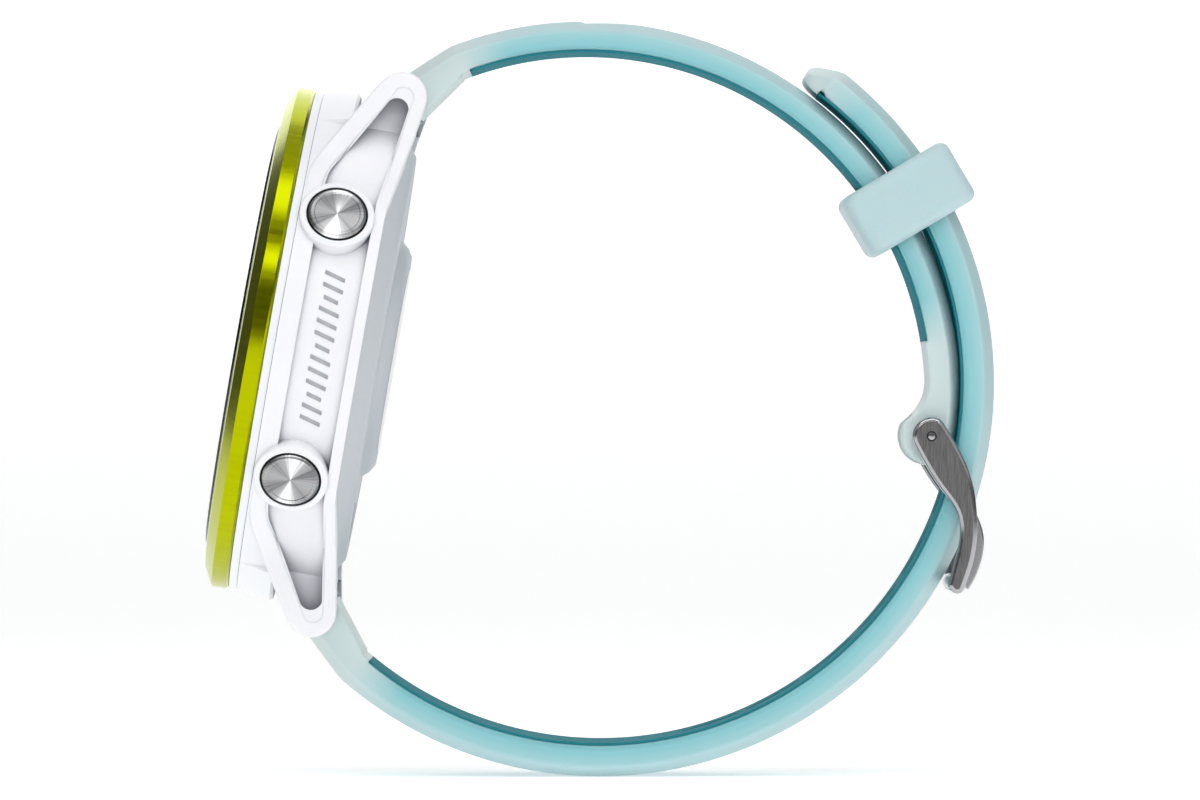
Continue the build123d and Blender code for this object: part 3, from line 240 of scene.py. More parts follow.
def closing(middle, radius, normal, along, steps):
    """Points round a circle, from a normal to just short of the direction where the other side comes."""
    stop_short = 0.97
    start = atan2(normal[1], normal[0])
    turn = atan2(normal[0] * along[1] - normal[1] * along[0], normal @ along)
    angle = start + np.linspace(0, turn * stop_short, steps)
    return middle + radius * np.stack([np.cos(angle), np.sin(angle)], axis=1)


def knuckle(band_middle, thickness, bar, steps=12):
    """Inner and outer points of the strap's thick end: straight to the spring bar, then closed round it."""
    left, right, along = tangents(band_middle, thickness / 2, bar, KNUCKLE_R)
    outward = band_middle / hypot(*band_middle)
    normals = (left, right) if left @ outward < 0 else (right, left)
    share = np.linspace(0, 1, steps)[1:, None]
    sides = []
    for normal in normals:
        start, end = band_middle + normal * thickness / 2, bar + normal * KNUCKLE_R
        round_bar = closing(bar, KNUCKLE_R, normal, along, steps)[1:]
        sides.append(np.vstack([start + (end - start) * share, round_bar]))
    return sides


def case_point(across, up, out):
    """A point in the case's own frame, in the row frame."""
    return CASE + THREE * across + TWELVE * up + OUT * out


def in_loop(point):
    """A row-frame point in the loop's plane."""
    return np.array([point[0] - LOOP[0], point[2] - LOOP[2]])


def cut(piece, cutter):
    """Takes a closed cutter out of a piece for good."""
    hole = piece.modifiers.new("cut", "BOOLEAN")
    hole.operation, hole.solver, hole.object = "DIFFERENCE", "EXACT", cutter
    graph = bpy.context.evaluated_depsgraph_get()
    piece.data = bpy.data.meshes.new_from_object(piece.evaluated_get(graph))
    piece.modifiers.clear()
    bpy.data.objects.remove(cutter)
    return piece


def skin(node, name, edge=0.0):
    """A copy of a CAD node with its triangles joined into real faces, shaded smooth, with softened edges."""
    mesh = frame["nodes"][node].data.copy()
    shell = bmesh.new()
    shell.from_mesh(mesh)
    bmesh.ops.remove_doubles(shell, verts=shell.verts, dist=SKIN_SEAM)
    bmesh.ops.dissolve_limit(shell, angle_limit=radians(0.3), verts=shell.verts, edges=shell.edges)
    shell.to_mesh(mesh)
    shell.free()
    mesh.polygons.foreach_set("use_smooth", np.full(len(mesh.polygons), True))
    if mesh.has_custom_normals:
        mesh.attributes.remove(mesh.attributes["custom_normal"])
    piece = bpy.data.objects.new(name, mesh)
    bpy.context.scene.collection.objects.link(piece)
    if edge:
        soften = piece.modifiers.new("soft_edges", "BEVEL")
        soften.width, soften.segments = edge * MM, 2
        soften.limit_method, soften.angle_limit = "ANGLE", radians(SKIN_ANGLE)
        soften.use_clamp_overlap = True
    return keep_flats_flat(piece, None if edge else SKIN_ANGLE)


# ------------------------------------------------------------------ materials
def add_node(tree, kind, inputs=None, **settings):
    """Adds a node with its settings; an input is a number, a colour or another node's socket."""
    made = tree.nodes.new(kind)
    for key, value in settings.items():
        setattr(made, key, value)
    for key, value in (inputs or {}).items():
        if isinstance(value, bpy.types.NodeSocket):
            tree.links.new(value, made.inputs[key])
        else:
            made.inputs[key].default_value = value
    return made


def calc(tree, operation, *values):
    """One Math node, and its answer."""
    return add_node(tree, "ShaderNodeMath", dict(enumerate(values)), operation=operation).outputs[0]


def ramp(tree, factor, stops):
    """A colour ramp with (place, colour) stops."""
    made = add_node(tree, "ShaderNodeValToRGB", {0: factor})
    made.color_ramp.interpolation = "EASE"
    for i, (place, colour) in enumerate(stops):
        stop = made.color_ramp.elements[i] if i < 2 else made.color_ramp.elements.new(place)
        stop.position, stop.color = place, (*colour, 1)
    return made.outputs[0]


def blend_colours(tree, factor, low, high, kind="MIX"):
    """Two colours mixed by a factor."""
    made = add_node(tree, "ShaderNodeMix", {0: factor, 6: low, 7: high}, data_type="RGBA", blend_type=kind)
    return made.outputs[2]


def srgb(*values):
    """A colour given as 0 to 255, in linear light."""
    share = np.array(values) / 255
    linear = np.where(share <= 0.04045, share / 12.92, ((share + 0.055) / 1.055) ** 2.4)
    return tuple(float(x) for x in linear)


def material(name, colour=(0.5, 0.5, 0.5), roughness=0.5, metallic=0.0, **sockets):
    """A material with its shader's own sockets set; returns it, its tree and its shader."""
    made = bpy.data.materials.new(name)
    made.use_nodes = True
    shader = made.node_tree.nodes["Principled BSDF"]
    values = {"Base Color": (*colour, 1), "Roughness": roughness, "Metallic": metallic, **sockets}
    for key, value in values.items():
        shader.inputs[key].default_value = value
    return made, made.node_tree, shader


def grain(tree, shader, scale, depth, colour=None, spread=0.06, stretch=(1, 1, 1), uv=False, rough=0.04):
    """Fine texture: noise in millimetres that lifts the surface, and shifts its colour and gloss a little."""
    place = add_node(tree, "ShaderNodeTexCoord").outputs["UV" if uv else "Object"]
    size = 1 if uv else 1 / MM
    sized = add_node(tree, "ShaderNodeMapping", {0: place, 3: tuple(size * s / scale for s in stretch)})
    noise = add_node(tree, "ShaderNodeTexNoise", {"Vector": sized.outputs[0], "Scale": 1, "Detail": 3})
    height = noise.outputs[0]
    bump = add_node(tree, "ShaderNodeBump", {"Strength": 1.0, "Distance": depth * MM, "Height": height})
    tree.links.new(bump.outputs[0], shader.inputs["Normal"])
    base = shader.inputs["Roughness"].default_value
    shift = add_node(tree, "ShaderNodeMapRange", {0: height, 3: base - rough, 4: base + rough})
    tree.links.new(shift.outputs[0], shader.inputs["Roughness"])
    if colour is not None:
        dark = tuple(c * (1 - spread) for c in colour)
        light = tuple(min(1, c * (1 + spread)) for c in colour)
        tree.links.new(ramp(tree, height, [(0.3, dark), (0.7, light)]), shader.inputs["Base Color"])


def plain(name, colour, roughness, metallic=0.0, scale=0.25, depth=0.004, spread=0.05, **sockets):
    """A finish that is the same in all directions: moulded plastic, foil, paint or blasted metal."""
    made, tree, shader = material(name, colour, roughness, metallic, **sockets)
    grain(tree, shader, scale, depth, colour, spread)
    return made


FROSTED = {"Subsurface Weight": 0.35, "Subsurface Scale": 0.0012, "Sheen Weight": 0.12}


def silicone(name, centre, radii, span):
    """Frosted strap rubber over a turquoise core: paler away from the lining, and clear where none lies.

    The colour follows the distance from the band's own axis, and the angle round it.
    """
    made, tree, shader = material(name, srgb(196, 214, 217), 0.42, **FROSTED)
    shader.inputs["Subsurface Radius"].default_value = (0.7, 1.0, 1.0)
    grain(tree, shader, 0.12, 0.0015, rough=0.05)
    place = add_node(tree, "ShaderNodeTexCoord").outputs["Object"]
    middle = (LOOP[0] + centre[0], 0, LOOP[2] + centre[1])
    middle = tuple(c * MM for c in middle)
    local = add_node(tree, "ShaderNodeVectorMath", {0: place, 1: middle}, operation="SUBTRACT")
    axes = add_node(tree, "ShaderNodeSeparateXYZ", {0: local.outputs[0]}).outputs
    squares = [calc(tree, "POWER", axis, 2.0) for axis in (axes[0], axes[2])]
    radius = calc(tree, "SQRT", calc(tree, "ADD", *squares))
    depth = add_node(tree, "ShaderNodeMapRange", {0: radius, 1: radii[0] * MM, 2: radii[1] * MM}).outputs[0]
    angle = calc(tree, "MULTIPLY", calc(tree, "ARCTAN2", axes[2], axes[0]), 180 / pi)
    before, fade = 1.0, 7.0  # degrees over which the colour comes in at each end of the lining
    start, end = span
    ends = [{0: angle, 1: start - before, 2: start + fade}, {0: angle, 1: end + before, 2: end - fade}]
    lined = calc(tree, "MULTIPLY", *[add_node(tree, "ShaderNodeMapRange", span).outputs[0] for span in ends])
    core = ramp(tree, depth, [(0.12, srgb(128, 190, 198)), (0.3, srgb(142, 202, 208)),
                              (0.55, srgb(158, 206, 210)), (0.75, srgb(176, 208, 212)),
                              (1.0, srgb(178, 205, 209))])
    clear = ramp(tree, depth, [(0.0, srgb(205, 220, 220)), (1.0, srgb(198, 214, 215))])
    colour = blend_colours(tree, lined, clear, core)
    tree.links.new(colour, shader.inputs["Base Color"])
    return made


def brushed(name, colour, roughness, stretch, scale=0.05, depth=0.003, spread=0.25, uv=False):
    """Metal with fine lines along one direction: noise drawn out along it."""
    made, tree, shader = material(name, colour, roughness, 1.0)
    grain(tree, shader, scale, depth, colour, spread, stretch, uv, 0.08)
    return made


def case_plastic():
    """White moulded plastic with painted shade: its colour darkens softly in its creases, over a few millimetres,
    where an occlusion node finds the surface hemmed in.
    """
    made = plain("white_case_plastic", WHITE, 0.36, scale=0.18, depth=0.0012, spread=0.008,
                 **{"Subsurface Weight": 0.08, "Subsurface Scale": 0.001})
    tree = made.node_tree
    base = tree.nodes["Principled BSDF"].inputs["Base Color"]
    grained = base.links[0].from_socket
    open_sky = add_node(tree, "ShaderNodeAmbientOcclusion", {"Distance": 3.2 * MM}, samples=8).outputs["AO"]
    # painted shade: the occlusion darkens the base colour in creases and hollows
    painted_crease_shade = ramp(tree, open_sky, [(0.05, srgb(120, 122, 132)), (0.8, (1, 1, 1))])
    tree.links.new(blend_colours(tree, 1.0, grained, painted_crease_shade, "MULTIPLY"), base)
    return made


def spun(name):
    """Steel faced on a lathe: fine rings in its bump, and painted highlight and shade: light and dark sectors
    painted into its colour where the rings would catch the light.

    Brightness is 0.28 - 0.2 cos(2 a) + 0.18 cos(4 a + 0.4) + 0.4 streak, at the angle a round the cap.
    """
    made, tree, shader = material(name, srgb(170, 170, 172), 0.3, 1.0, **{"Anisotropic": 0.7})
    place = add_node(tree, "ShaderNodeTexCoord").outputs["UV"]
    grain(tree, shader, 1.0, 0.0005, stretch=(6, 260, 1), uv=True)
    turn = calc(tree, "MULTIPLY", add_node(tree, "ShaderNodeSeparateXYZ", {0: place}).outputs[0], 2 * pi)
    two = calc(tree, "COSINE", calc(tree, "MULTIPLY", turn, 2.0))
    four = calc(tree, "COSINE", calc(tree, "ADD", calc(tree, "MULTIPLY", turn, 4.0), 0.4))
    sized = add_node(tree, "ShaderNodeMapping", {0: place, 3: (90, 0.5, 1)})
    lines = {"Vector": sized.outputs[0], "Scale": 1, "Detail": 1}
    streak = add_node(tree, "ShaderNodeTexNoise", lines).outputs[0]
    mixed = calc(tree, "ADD", calc(tree, "MULTIPLY", two, -0.2), calc(tree, "MULTIPLY", four, 0.18))
    level = calc(tree, "ADD", calc(tree, "ADD", mixed, 0.28), calc(tree, "MULTIPLY", streak, 0.4))
    # painted highlight and shade: the sector brightness becomes the steel's colour
    painted_sector_light = ramp(tree, level, [(0.12, srgb(116, 116, 118)), (0.5, srgb(176, 176, 178)),
                               (0.9, srgb(250, 250, 250))])
    tree.links.new(painted_sector_light, shader.inputs["Base Color"])
    tangent = add_node(tree, "ShaderNodeTangent", direction_type="UV_MAP").outputs[0]
    tree.links.new(tangent, shader.inputs["Tangent"])
    return made


WHITE = srgb(243, 243, 247)
TEAL = srgb(36, 122, 132)
YELLOW = srgb(174, 182, 4)

case_white = case_plastic()
cover_grey = plain("grey_cover_plastic", srgb(208, 211, 216), 0.45, scale=0.15, depth=0.003, spread=0.02)
anodised = brushed("anodised_yellow", YELLOW, 0.22, (160, 1, 1), 0.5, 0.0002, 0.04, True)
# painted glow: the lining's faint teal emission stands in for light coming through the clear rubber; the lining is
# no lamp
lining_teal = plain("turquoise_lining", TEAL, 0.75, scale=0.14, depth=0.003, spread=0.06,
                    **{"Specular IOR Level": 0.06, "Emission Color": (*TEAL, 1), "Emission Strength": 0.12})
tail_silicone = silicone("tail_silicone", (0, 0), TAIL_R, LINED["tail"])
buckle_silicone = silicone("buckle_silicone", BUCKLE_CENTRE, BUCKLE_R, LINED["buckle"])
keeper_silicone = plain("keeper_silicone", srgb(186, 212, 216), 0.42, scale=0.12, depth=0.0015, spread=0.015,
                        **FROSTED)
side_steel = brushed("brushed_buckle_steel", srgb(128, 127, 127), 0.38, (1, 1, 0.06), 0.09, 0.004, 0.22)
edge_steel = plain("polished_buckle_edge", srgb(176, 176, 179), 0.2, 1.0, spread=0.02, depth=0.0005)
spun_steel = spun("spun_button_steel")
# painted shade: a near-black finish for the rings set in the gaps round the button caps and the buckle's pin ends,
# where there is only shade
gap_shade_finish = plain("painted_gap_shade", srgb(20, 22, 26), 0.6, spread=0.05)
print_grey = plain("printed_grey", srgb(178, 180, 186), 0.5, spread=0.02)

INNER_FINISHES = {
    "glass_dark": plain("dark_glass_edge", srgb(8, 9, 11), 0.06, spread=0.1, depth=0.0),
    "black_adhesive": plain("adhesive_black", srgb(20, 20, 20), 0.8),
    "display_black": plain("panel_black", srgb(14, 15, 18), 0.25),
    "flex_amber": plain("flex_amber", srgb(170, 96, 28), 0.35),
    "chassis_grey": plain("chassis_grey", srgb(110, 112, 116), 0.6, depth=0.01),
    "board_green": plain("board_green", srgb(16, 92, 54), 0.4, scale=0.6, spread=0.2),
    "shield_tin": plain("shield_tin", srgb(205, 205, 205), 0.3, 1.0),
    "antenna_copper": plain("antenna_copper", srgb(206, 140, 100), 0.3, 1.0),
    "battery_foil": plain("battery_foil", srgb(190, 192, 196), 0.35, 1.0, scale=1.2, depth=0.03),
    "motor_steel": plain("motor_steel", srgb(190, 190, 192), 0.3, 1.0),
    "seal_rubber": plain("seal_rubber", srgb(28, 28, 30), 0.7),
    "screw_steel": brushed("screw_steel", srgb(186, 186, 190), 0.3, (1, 1, 0.1)),
    "sensor_glass": plain("sensor_window_glass", srgb(10, 14, 14), 0.08, depth=0.0),
    "led_green": plain("sensor_led", srgb(150, 220, 170), 0.3),
    "contact_gold": plain("contact_gold", srgb(232, 190, 110), 0.25, 1.0),
    "spring_steel": brushed("spring_steel", srgb(180, 180, 184), 0.3, (1, 0.1, 1)),
    "button_steel": spun_steel,
    "buckle_steel": side_steel,
    "white_polymer": case_white,
    "bezel_anodised": anodised,
    "cover_grey": cover_grey,
    "strap_clear": keeper_silicone,
    "strap_turquoise": lining_teal,
}


def dress(piece, finish):
    """Gives a piece one finish."""
    piece.data.materials.clear()
    piece.data.materials.append(finish)
    return piece


def place(piece, body, finish, slot, *nodes):
    """Puts a finished piece on its body, in its finish, in place of CAD nodes."""
    dress(piece, finish)
    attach(piece, body)
    if nodes:
        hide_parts(*nodes)
    return piece


# ------------------------------------------------------------------ CAD nodes that stay, each in its finish
slot_of = {part["node"]: part["material_slot"] for part in frame["record"]["subparts"]}
for node, holder in frame["nodes"].items():
    dress(holder, INNER_FINISHES[slot_of[node]])

# ------------------------------------------------------------------ case
place(skin("main_case", "case_shell", edge=0.14), "watch", case_white, "white_polymer", "main_case")
place(skin("rear_cover", "rear_cover_shell", edge=0.12), "watch", cover_grey, "cover_grey", "rear_cover")
RING_BACK, RING_HOLE, RING_STEP, RING_R = 10.6, 18.4, 21.2, 23.3
ring = turned("front_ring", [(RING_HOLE, RING_BACK, 0), (RING_R, RING_BACK, 0.08), (RING_R, FRONT_TOP, 0.05),
                             (RING_STEP, FRONT_TOP, 0.05), (RING_STEP, BEZEL_SEAT, 0),
                             (RING_HOLE, BEZEL_SEAT, 0)])
place(keep_flats_flat(ring), "watch", case_white, "white_polymer", "front_frame_ring")
BEZEL_R, BEZEL_HOLE, BEZEL_STEP = 23.5, 19.78, 21.25
bezel = turned("bezel_ring", [(BEZEL_STEP, FRONT_TOP, 0), (23.22, FRONT_TOP, 0.03), (BEZEL_R, 11.68, 0.05),
                              (BEZEL_R, 13.0, 0.07), (21.8, 13.88, 0.12), (BEZEL_HOLE, 14.1, 0.1),
                              (BEZEL_HOLE, BEZEL_SEAT, 0), (BEZEL_STEP, BEZEL_SEAT, 0)], 360)
place(keep_flats_flat(bezel), "watch", anodised, "bezel_anodised", "bezel")
GLASS_R, GLASS_BACK = 19.7, 13.1
glass = turned("glass_disc", [(0, GLASS_BACK, 0), (GLASS_R, GLASS_BACK, 0), (GLASS_R, GLASS_TOP, 0.28),
                              (0, GLASS_TOP, 0)], 256)
place(keep_flats_flat(glass), "watch", INNER_FINISHES["glass_dark"], "glass_dark", "display_glass")


def drum_side(up):
    """How far out to the side the case's skin lies at a height: the drum's circle, then the lug's flat.

    The two are joined by a high power: (drum ** n + lug ** n) ** (1 / n).
    """
    drum = np.sqrt(np.clip(CASE_R ** 2 - up ** 2, 0.01, None))
    return (drum ** LUG_EASE + LUG_X ** LUG_EASE) ** (1 / LUG_EASE)


# up, out, corner radius; then half the rim's width, and its lift, each over shares of the outline's length
RIM_OUTLINE = [(12.3, 9.72, 0), (16.3, 9.72, 4.5), (31.9, 0.27, 1.6), (12.0, 3.5, 0)]
RIM_HALF = ([0, 0.12, 0.42, 0.55, 1.0], [0.72, 0.82, 0.86, 0.66, 0.5])
RIM_LIFT = ([0, 0.07, 0.14, 0.3, 0.8, 0.92, 1.0], [-0.3, 0.12, 0.3, 0.22, 0.18, 0.06, -0.4])
RIM_SECTION = [(-1, -1.1, 0), (-1, 0, 0.3), (1, 0, 0.3), (1, -1.1, 0)]  # share of half the width, height
RIM_LONG_RUN, RIM_RUN_POINTS = 1.0, 16


def lug_rim(name, side, top):
    """The raised white rim round one lug's pocket: a softened strip carried along the lug's outline.

    The outline is a rounded path in height and depth. The strip's outer face lies on drum_side plus a lift.
    """
    path = rounded(RIM_OUTLINE, 14, closed=False)
    dense = []
    for a, b in zip(path[:-1], path[1:]):
        dense.append(np.linspace(a, b, RIM_RUN_POINTS if hypot(*(b - a)) > RIM_LONG_RUN else 2)[:-1])
    path = np.vstack(dense + [path[-1:]])
    run = np.concatenate([[0], np.cumsum(np.hypot(*np.diff(path, axis=0).T))])
    share = run / run[-1]
    way = np.gradient(path, axis=0)
    way /= np.hypot(*way.T)[:, None]
    aside = np.stack([way[:, 1], -way[:, 0]], axis=1)
    half = np.interp(share, *RIM_HALF)
    lift = np.interp(share, *RIM_LIFT)
    section = rounded(RIM_SECTION, 4, closed=False)
    spot = path[:, None, :] + aside[:, None, :] * section[None, :, 0, None] * half[:, None, None]
    face = drum_side(spot[..., 0]) + lift[:, None]
    slope = (drum_side(spot[..., 0] + 0.05) - drum_side(spot[..., 0] - 0.05)) / 0.1
    size = np.sqrt(1 + slope ** 2)
    across = face + section[None, :, 1] / size
    up = spot[..., 0] - section[None, :, 1] * slope / size
    points = CASE + side * across[..., None] * THREE + top * up[..., None] * TWELVE + spot[..., 1, None] * OUT
    stations, columns = len(path), len(section)
    faces = grid_faces(stations, columns, wrap_columns=True) + end_faces(stations, columns)
    return face_outwards(build(name, points.reshape(-1, 3), faces))


CHANNEL_R = 22.7  # the side channel's floor, from the dial's axis


def slanted_bars(name, count=13, pitch=1.13, tall=1.9, wide=0.36, lean=0.55):
    """A row of short slanted bars printed on the side channel between the two buttons.

    Each bar is a box bent round the case: its angle is its place up the case over the channel's radius.
    """
    proud, sunk, height = 0.05, 0.25, 6.3
    corner = np.array([(-1, -1), (1, -1), (1, 1), (-1, 1)]) / 2
    middle = (np.arange(count) - (count - 1) / 2)[:, None] * pitch
    length = np.where(np.arange(count) % 4 == 2, 0.72, 1.0)[:, None]
    depth = corner[None, :, 1] * tall * length + height
    up = middle + corner[None, :, 0] * wide + corner[None, :, 1] * lean * length
    reach = np.array([CHANNEL_R - sunk, CHANNEL_R + proud])[None, :, None]
    angle = np.broadcast_to(up[:, None, :] / CHANNEL_R, (count, 2, 4))
    points = CASE + (reach * np.cos(angle))[..., None] * THREE + (reach * np.sin(angle))[..., None] * TWELVE
    points = (points + depth[:, None, :, None] * OUT).reshape(-1, 3)
    box = np.array([(0, 1, 2, 3), (4, 5, 6, 7), (0, 1, 5, 4), (1, 2, 6, 5), (2, 3, 7, 6), (3, 0, 4, 7)])
    faces = (np.arange(count)[:, None, None] * 8 + box[None]).reshape(-1, 4).tolist()
    return face_outwards(build(name, points, faces))


for side_name, side in (("start_side", 1), ("light_side", -1)):
    for end_name, top in (("top", 1), ("bottom", -1)):
        rim = lug_rim(f"lug_rim_{end_name}_{side_name}", side, top)
        place(keep_flats_flat(rim), "watch", case_white, "white_polymer")
place(slanted_bars("side_marks"), "watch", print_grey, "white_polymer")

# ------------------------------------------------------------------ buttons
CAP_R, CAP_FOOT, CAP_TOP, CAP_EDGE = 2.64, 22.9, 24.2, 0.22
CAP_SECTION = rounded([(0, CAP_FOOT, 0), (CAP_R, CAP_FOOT, 0.05), (CAP_R, CAP_TOP - CAP_EDGE, 0.05),
                       (CAP_R - CAP_EDGE, CAP_TOP, 0.05), (2.12, CAP_TOP, 0.03), (2.06, 24.14, 0.03),
                       (0, 24.04, 0)], 3, closed=False)  # radius, distance from the dial's axis, corner
GAP_SECTION = np.array([(2.60, 23.0), (2.98, 23.0), (2.98, 23.72), (2.60, 23.72)])  # the well round a cap
for name in ("start", "back", "light", "up", "down"):
    outwards = -np.array(joints[f"button_{name}_press"]["axis"])
    middle = CASE + OUT * BUTTON_HEIGHT
    cap = revolved(f"button_cap_{name}", CAP_SECTION, middle, outwards, OUT, 128)
    place(keep_flats_flat(cap), f"button_{name}", spun_steel, "button_steel", f"button_{name}")
    # painted shade: a dark ring in the well round the cap stands in for the shade of the gap
    gap = revolved(f"button_gap_{name}", GAP_SECTION, middle, outwards, OUT, 96)
    place(gap, "watch", gap_shade_finish, "seal_rubber")

# ------------------------------------------------------------------ strap
low_bar = in_loop(case_point(0, -BAR[0], BAR[1]))
high_bar = in_loop(case_point(0, BAR[0], BAR[1]))

# inset from the band's edge, then from its inner face or from its outer face
BAND_SECTION = [(0.9, 0, None), (0.35, 0, None), (0.12, 0.03, None), (0.0, 0.16, None), (0.0, 0.5, None),
                (0.0, None, EDGE_DROP + 0.3), (0.03, None, EDGE_DROP + 0.1), (0.16, None, EDGE_DROP - 0.05),
                (EDGE_RUN - 0.5, None, 0.16), (EDGE_RUN, None, 0.03), (EDGE_RUN + 0.6, None, 0),
                (5.0, None, 0)]
LINING_SECTION = [(0.6, 0, None), (0.25, 0.01, None), (0.06, 0.05, None), (0.0, 0.12, None),
                  (0.0, None, 0.06), (0.03, None, 0.0), (0.6, None, 0)]


def lined_radius(angle, radii, span):
    """The inner radius of the clear band: it steps out by the lining's thickness where the lining lies."""
    return radii[0] + LINING * ((angle > span[0]) & (angle < span[1]))


def band_angles(start, end, span, steps=150, step_aside=0.02):
    """Angles along a band, with a close pair at each end of its lining."""
    angle = np.linspace(start, end, steps)
    pairs = [value + shift for value in span for shift in (-step_aside, step_aside)]
    return np.unique(np.concatenate([angle, [p for p in pairs if start < p < end]]))


def polar(centre, radius, angle):
    """Points at radii and angles about a centre of the loop's plane."""
    angle = np.radians(angle)
    ray = np.stack([np.cos(angle), np.sin(angle)], axis=-1)
    return np.asarray(centre) + np.asarray(radius)[..., None] * ray


def windows(radius, thickness, spare=1):
    """Closed cutters for the tail half's tang holes: rounded oblongs carried outwards, at even angles."""
    quarters = [(1, 1), (-1, 1), (-1, -1), (1, -1)]
    flat = rounded([(x * HOLE_HALF_LONG, y * HOLE_HALF_WIDE, HOLE_CORNER) for x, y in quarters], 6)
    count = len(flat)
    order = np.arange(HOLE_COUNT) - HOLE_COUNT // 2
    angle = np.radians(HOLE_MIDDLE + order * np.degrees(HOLE_PITCH / TAIL_R[1]))[:, None, None]
    reach = np.array([radius - spare, radius + thickness + spare])[None, :, None]
    along, across = flat[None, None, :, 0], flat[None, None, :, 1]
    x = LOOP[0] + reach * np.cos(angle) - along * np.sin(angle)
    z = LOOP[2] + reach * np.sin(angle) + along * np.cos(angle)
    y = np.broadcast_to(across, x.shape)
    points = np.stack([x, y, z], axis=-1).reshape(-1, 3)
    faces = []
    for first in range(0, HOLE_COUNT * 2 * count, 2 * count):
        second = first + count
        for i in range(count):
            following = (i + 1) % count
            faces.append([first + i, first + following, second + following, second + i])
        faces += [list(range(first, second)), list(range(second, second + count))]
    return face_outwards(build("window_cutters", points, faces))


TIP_START = 51.6  # degrees, as are the angles of the tip's (radius, angle) points
TIP_INNER = np.array([(33.7, 52.2), (33.7, 52.85), (33.25, 52.95), (33.35, 54.6), (33.52, 55.5), (33.7, 56.0),
                      (34.0, 56.25)])
TIP_OUTER = np.array([(36.25, 52.2), (36.1, 52.8), (36.08, 52.9), (35.7, 54.3), (35.4, 55.3), (35.1, 56.0),
                      (34.7, 56.3)])
TIP_CORNER, TIP_SHARE = 4.5, 0.75  # the rounding in plan, and how much of it is taken off each side


def tail_band():
    """The tail half: knuckle, arc, and a tip bevelled on its outer face and rounded in plan."""
    angle = band_angles(TAIL_START, TIP_START, LINED["tail"])
    inner = polar((0, 0), lined_radius(angle, TAIL_R, LINED["tail"]), angle)
    outer = polar((0, 0), np.full(len(angle), TAIL_R[1]), angle)
    tip_inner, tip_outer = polar((0, 0), *TIP_INNER.T), polar((0, 0), *TIP_OUTER.T)
    foot = polar((0, 0), np.array(sum(TAIL_R) / 2), TAIL_START)
    bottom, top = knuckle(foot, TAIL_R[1] - TAIL_R[0], low_bar)
    inner = np.vstack([bottom[::-1], inner, tip_inner])
    outer = np.vstack([top[::-1], outer, tip_outer])
    run = np.concatenate([[0], np.cumsum(np.hypot(*np.diff((inner + outer) / 2, axis=0).T))])
    from_tip = run[-1] - run
    into_corner = np.clip(TIP_CORNER - from_tip, 0, None)
    narrowing = TIP_CORNER - np.sqrt(np.clip(TIP_CORNER ** 2 - into_corner ** 2, 0, None))
    return ribbon("tail_band", inner, outer, BAND_SECTION, narrowing * TIP_SHARE)


NECK_BEND = np.array([0.15, -2.4])  # from the arc's end to the middle point of the curve into the bulge
BULGE_TURN = 142  # degrees round the pin


def buckle_band():
    """The buckle half: knuckle, arc, and the bulge round the pin, with the tail half lying on its outside."""
    lay = TAIL_R[0] - LAY_GAP
    angle = band_angles(BUCKLE_NECK, BUCKLE_START, LINED["buckle"])[::-1]
    ray = np.stack([np.cos(np.radians(angle)), np.sin(np.radians(angle))], axis=1)
    lean = ray @ BUCKLE_CENTRE
    reach = -lean + np.sqrt(lean ** 2 - BUCKLE_CENTRE @ BUCKLE_CENTRE + lay ** 2)
    outer_radius = np.where(angle < 90, np.minimum(BUCKLE_R[1], reach), BUCKLE_R[1])
    inner = polar(BUCKLE_CENTRE, lined_radius(angle, BUCKLE_R, LINED["buckle"]), angle)
    outer = BUCKLE_CENTRE + ray * outer_radius[:, None]
    thickness = BUCKLE_R[1] - BUCKLE_R[0]
    foot, neck = [polar(BUCKLE_CENTRE, np.array(sum(BUCKLE_R) / 2), at) for at in (BUCKLE_START, BUCKLE_NECK)]
    bottom, top = knuckle(foot, thickness, high_bar)
    pin = np.array([PIN[0], PIN[2]])
    left, right, _ = tangents(neck, thickness / 2, pin, BULGE_R)
    inward = left if left[0] < right[0] else right
    share = np.linspace(0, 1, 12)[1:, None]
    start, bend, end = inner[-1], inner[-1] + NECK_BEND, pin + inward * BULGE_R
    eased = (1 - share) ** 2 * start + 2 * share * (1 - share) * bend + share ** 2 * end
    begin = atan2(inward[1], inward[0])
    sweep = np.linspace(0, radians(BULGE_TURN), 28)[1:]
    bulge = pin + BULGE_R * np.stack([np.cos(begin + sweep), np.sin(begin + sweep)], axis=1)
    inner_end = np.vstack([eased, bulge])
    first = degrees_of(outer[-1])
    last = degrees_of(bulge[-1])
    outer_end = polar((0, 0), np.full(len(inner_end), lay), np.linspace(first, last, len(inner_end) + 1)[1:])
    return ribbon("buckle_band", np.vstack([bottom[::-1], inner, inner_end]),
                  np.vstack([top[::-1], outer, outer_end]), BAND_SECTION)


def degrees_of(point):
    """A point's angle about the loop's centre, in degrees."""
    return np.degrees(atan2(point[1], point[0]))


def lining(name, centre, radii, span, steps=160):
    """The thin turquoise layer on the wrist side of a band."""
    angle = np.linspace(span[0], span[1], steps)
    inner = polar(centre, np.full(steps, radii[0]), angle)
    outer = polar(centre, np.full(steps, radii[0] + LINING), angle)
    return ribbon(name, inner, outer, LINING_SECTION)


def tang_gap():
    """A closed box that takes the tang's slot out of the buckle half."""
    reach, above = 6.0, 1.9
    low, high = PIN[2] - reach, PIN[2] + above
    sides, ends = (-SLOT_HALF_WIDE, SLOT_HALF_WIDE), (PIN[0] - reach, PIN[0] + reach)
    corners = [(x, y, z) for x in ends for y in sides for z in (low, high)]
    points = np.array(corners) + np.array([LOOP[0], 0, LOOP[2]])
    faces = [[0, 1, 3, 2], [4, 6, 7, 5], [0, 4, 5, 1], [2, 3, 7, 6], [0, 2, 6, 4], [1, 5, 7, 3]]
    return face_outwards(build("tang_gap_cutter", points, faces))


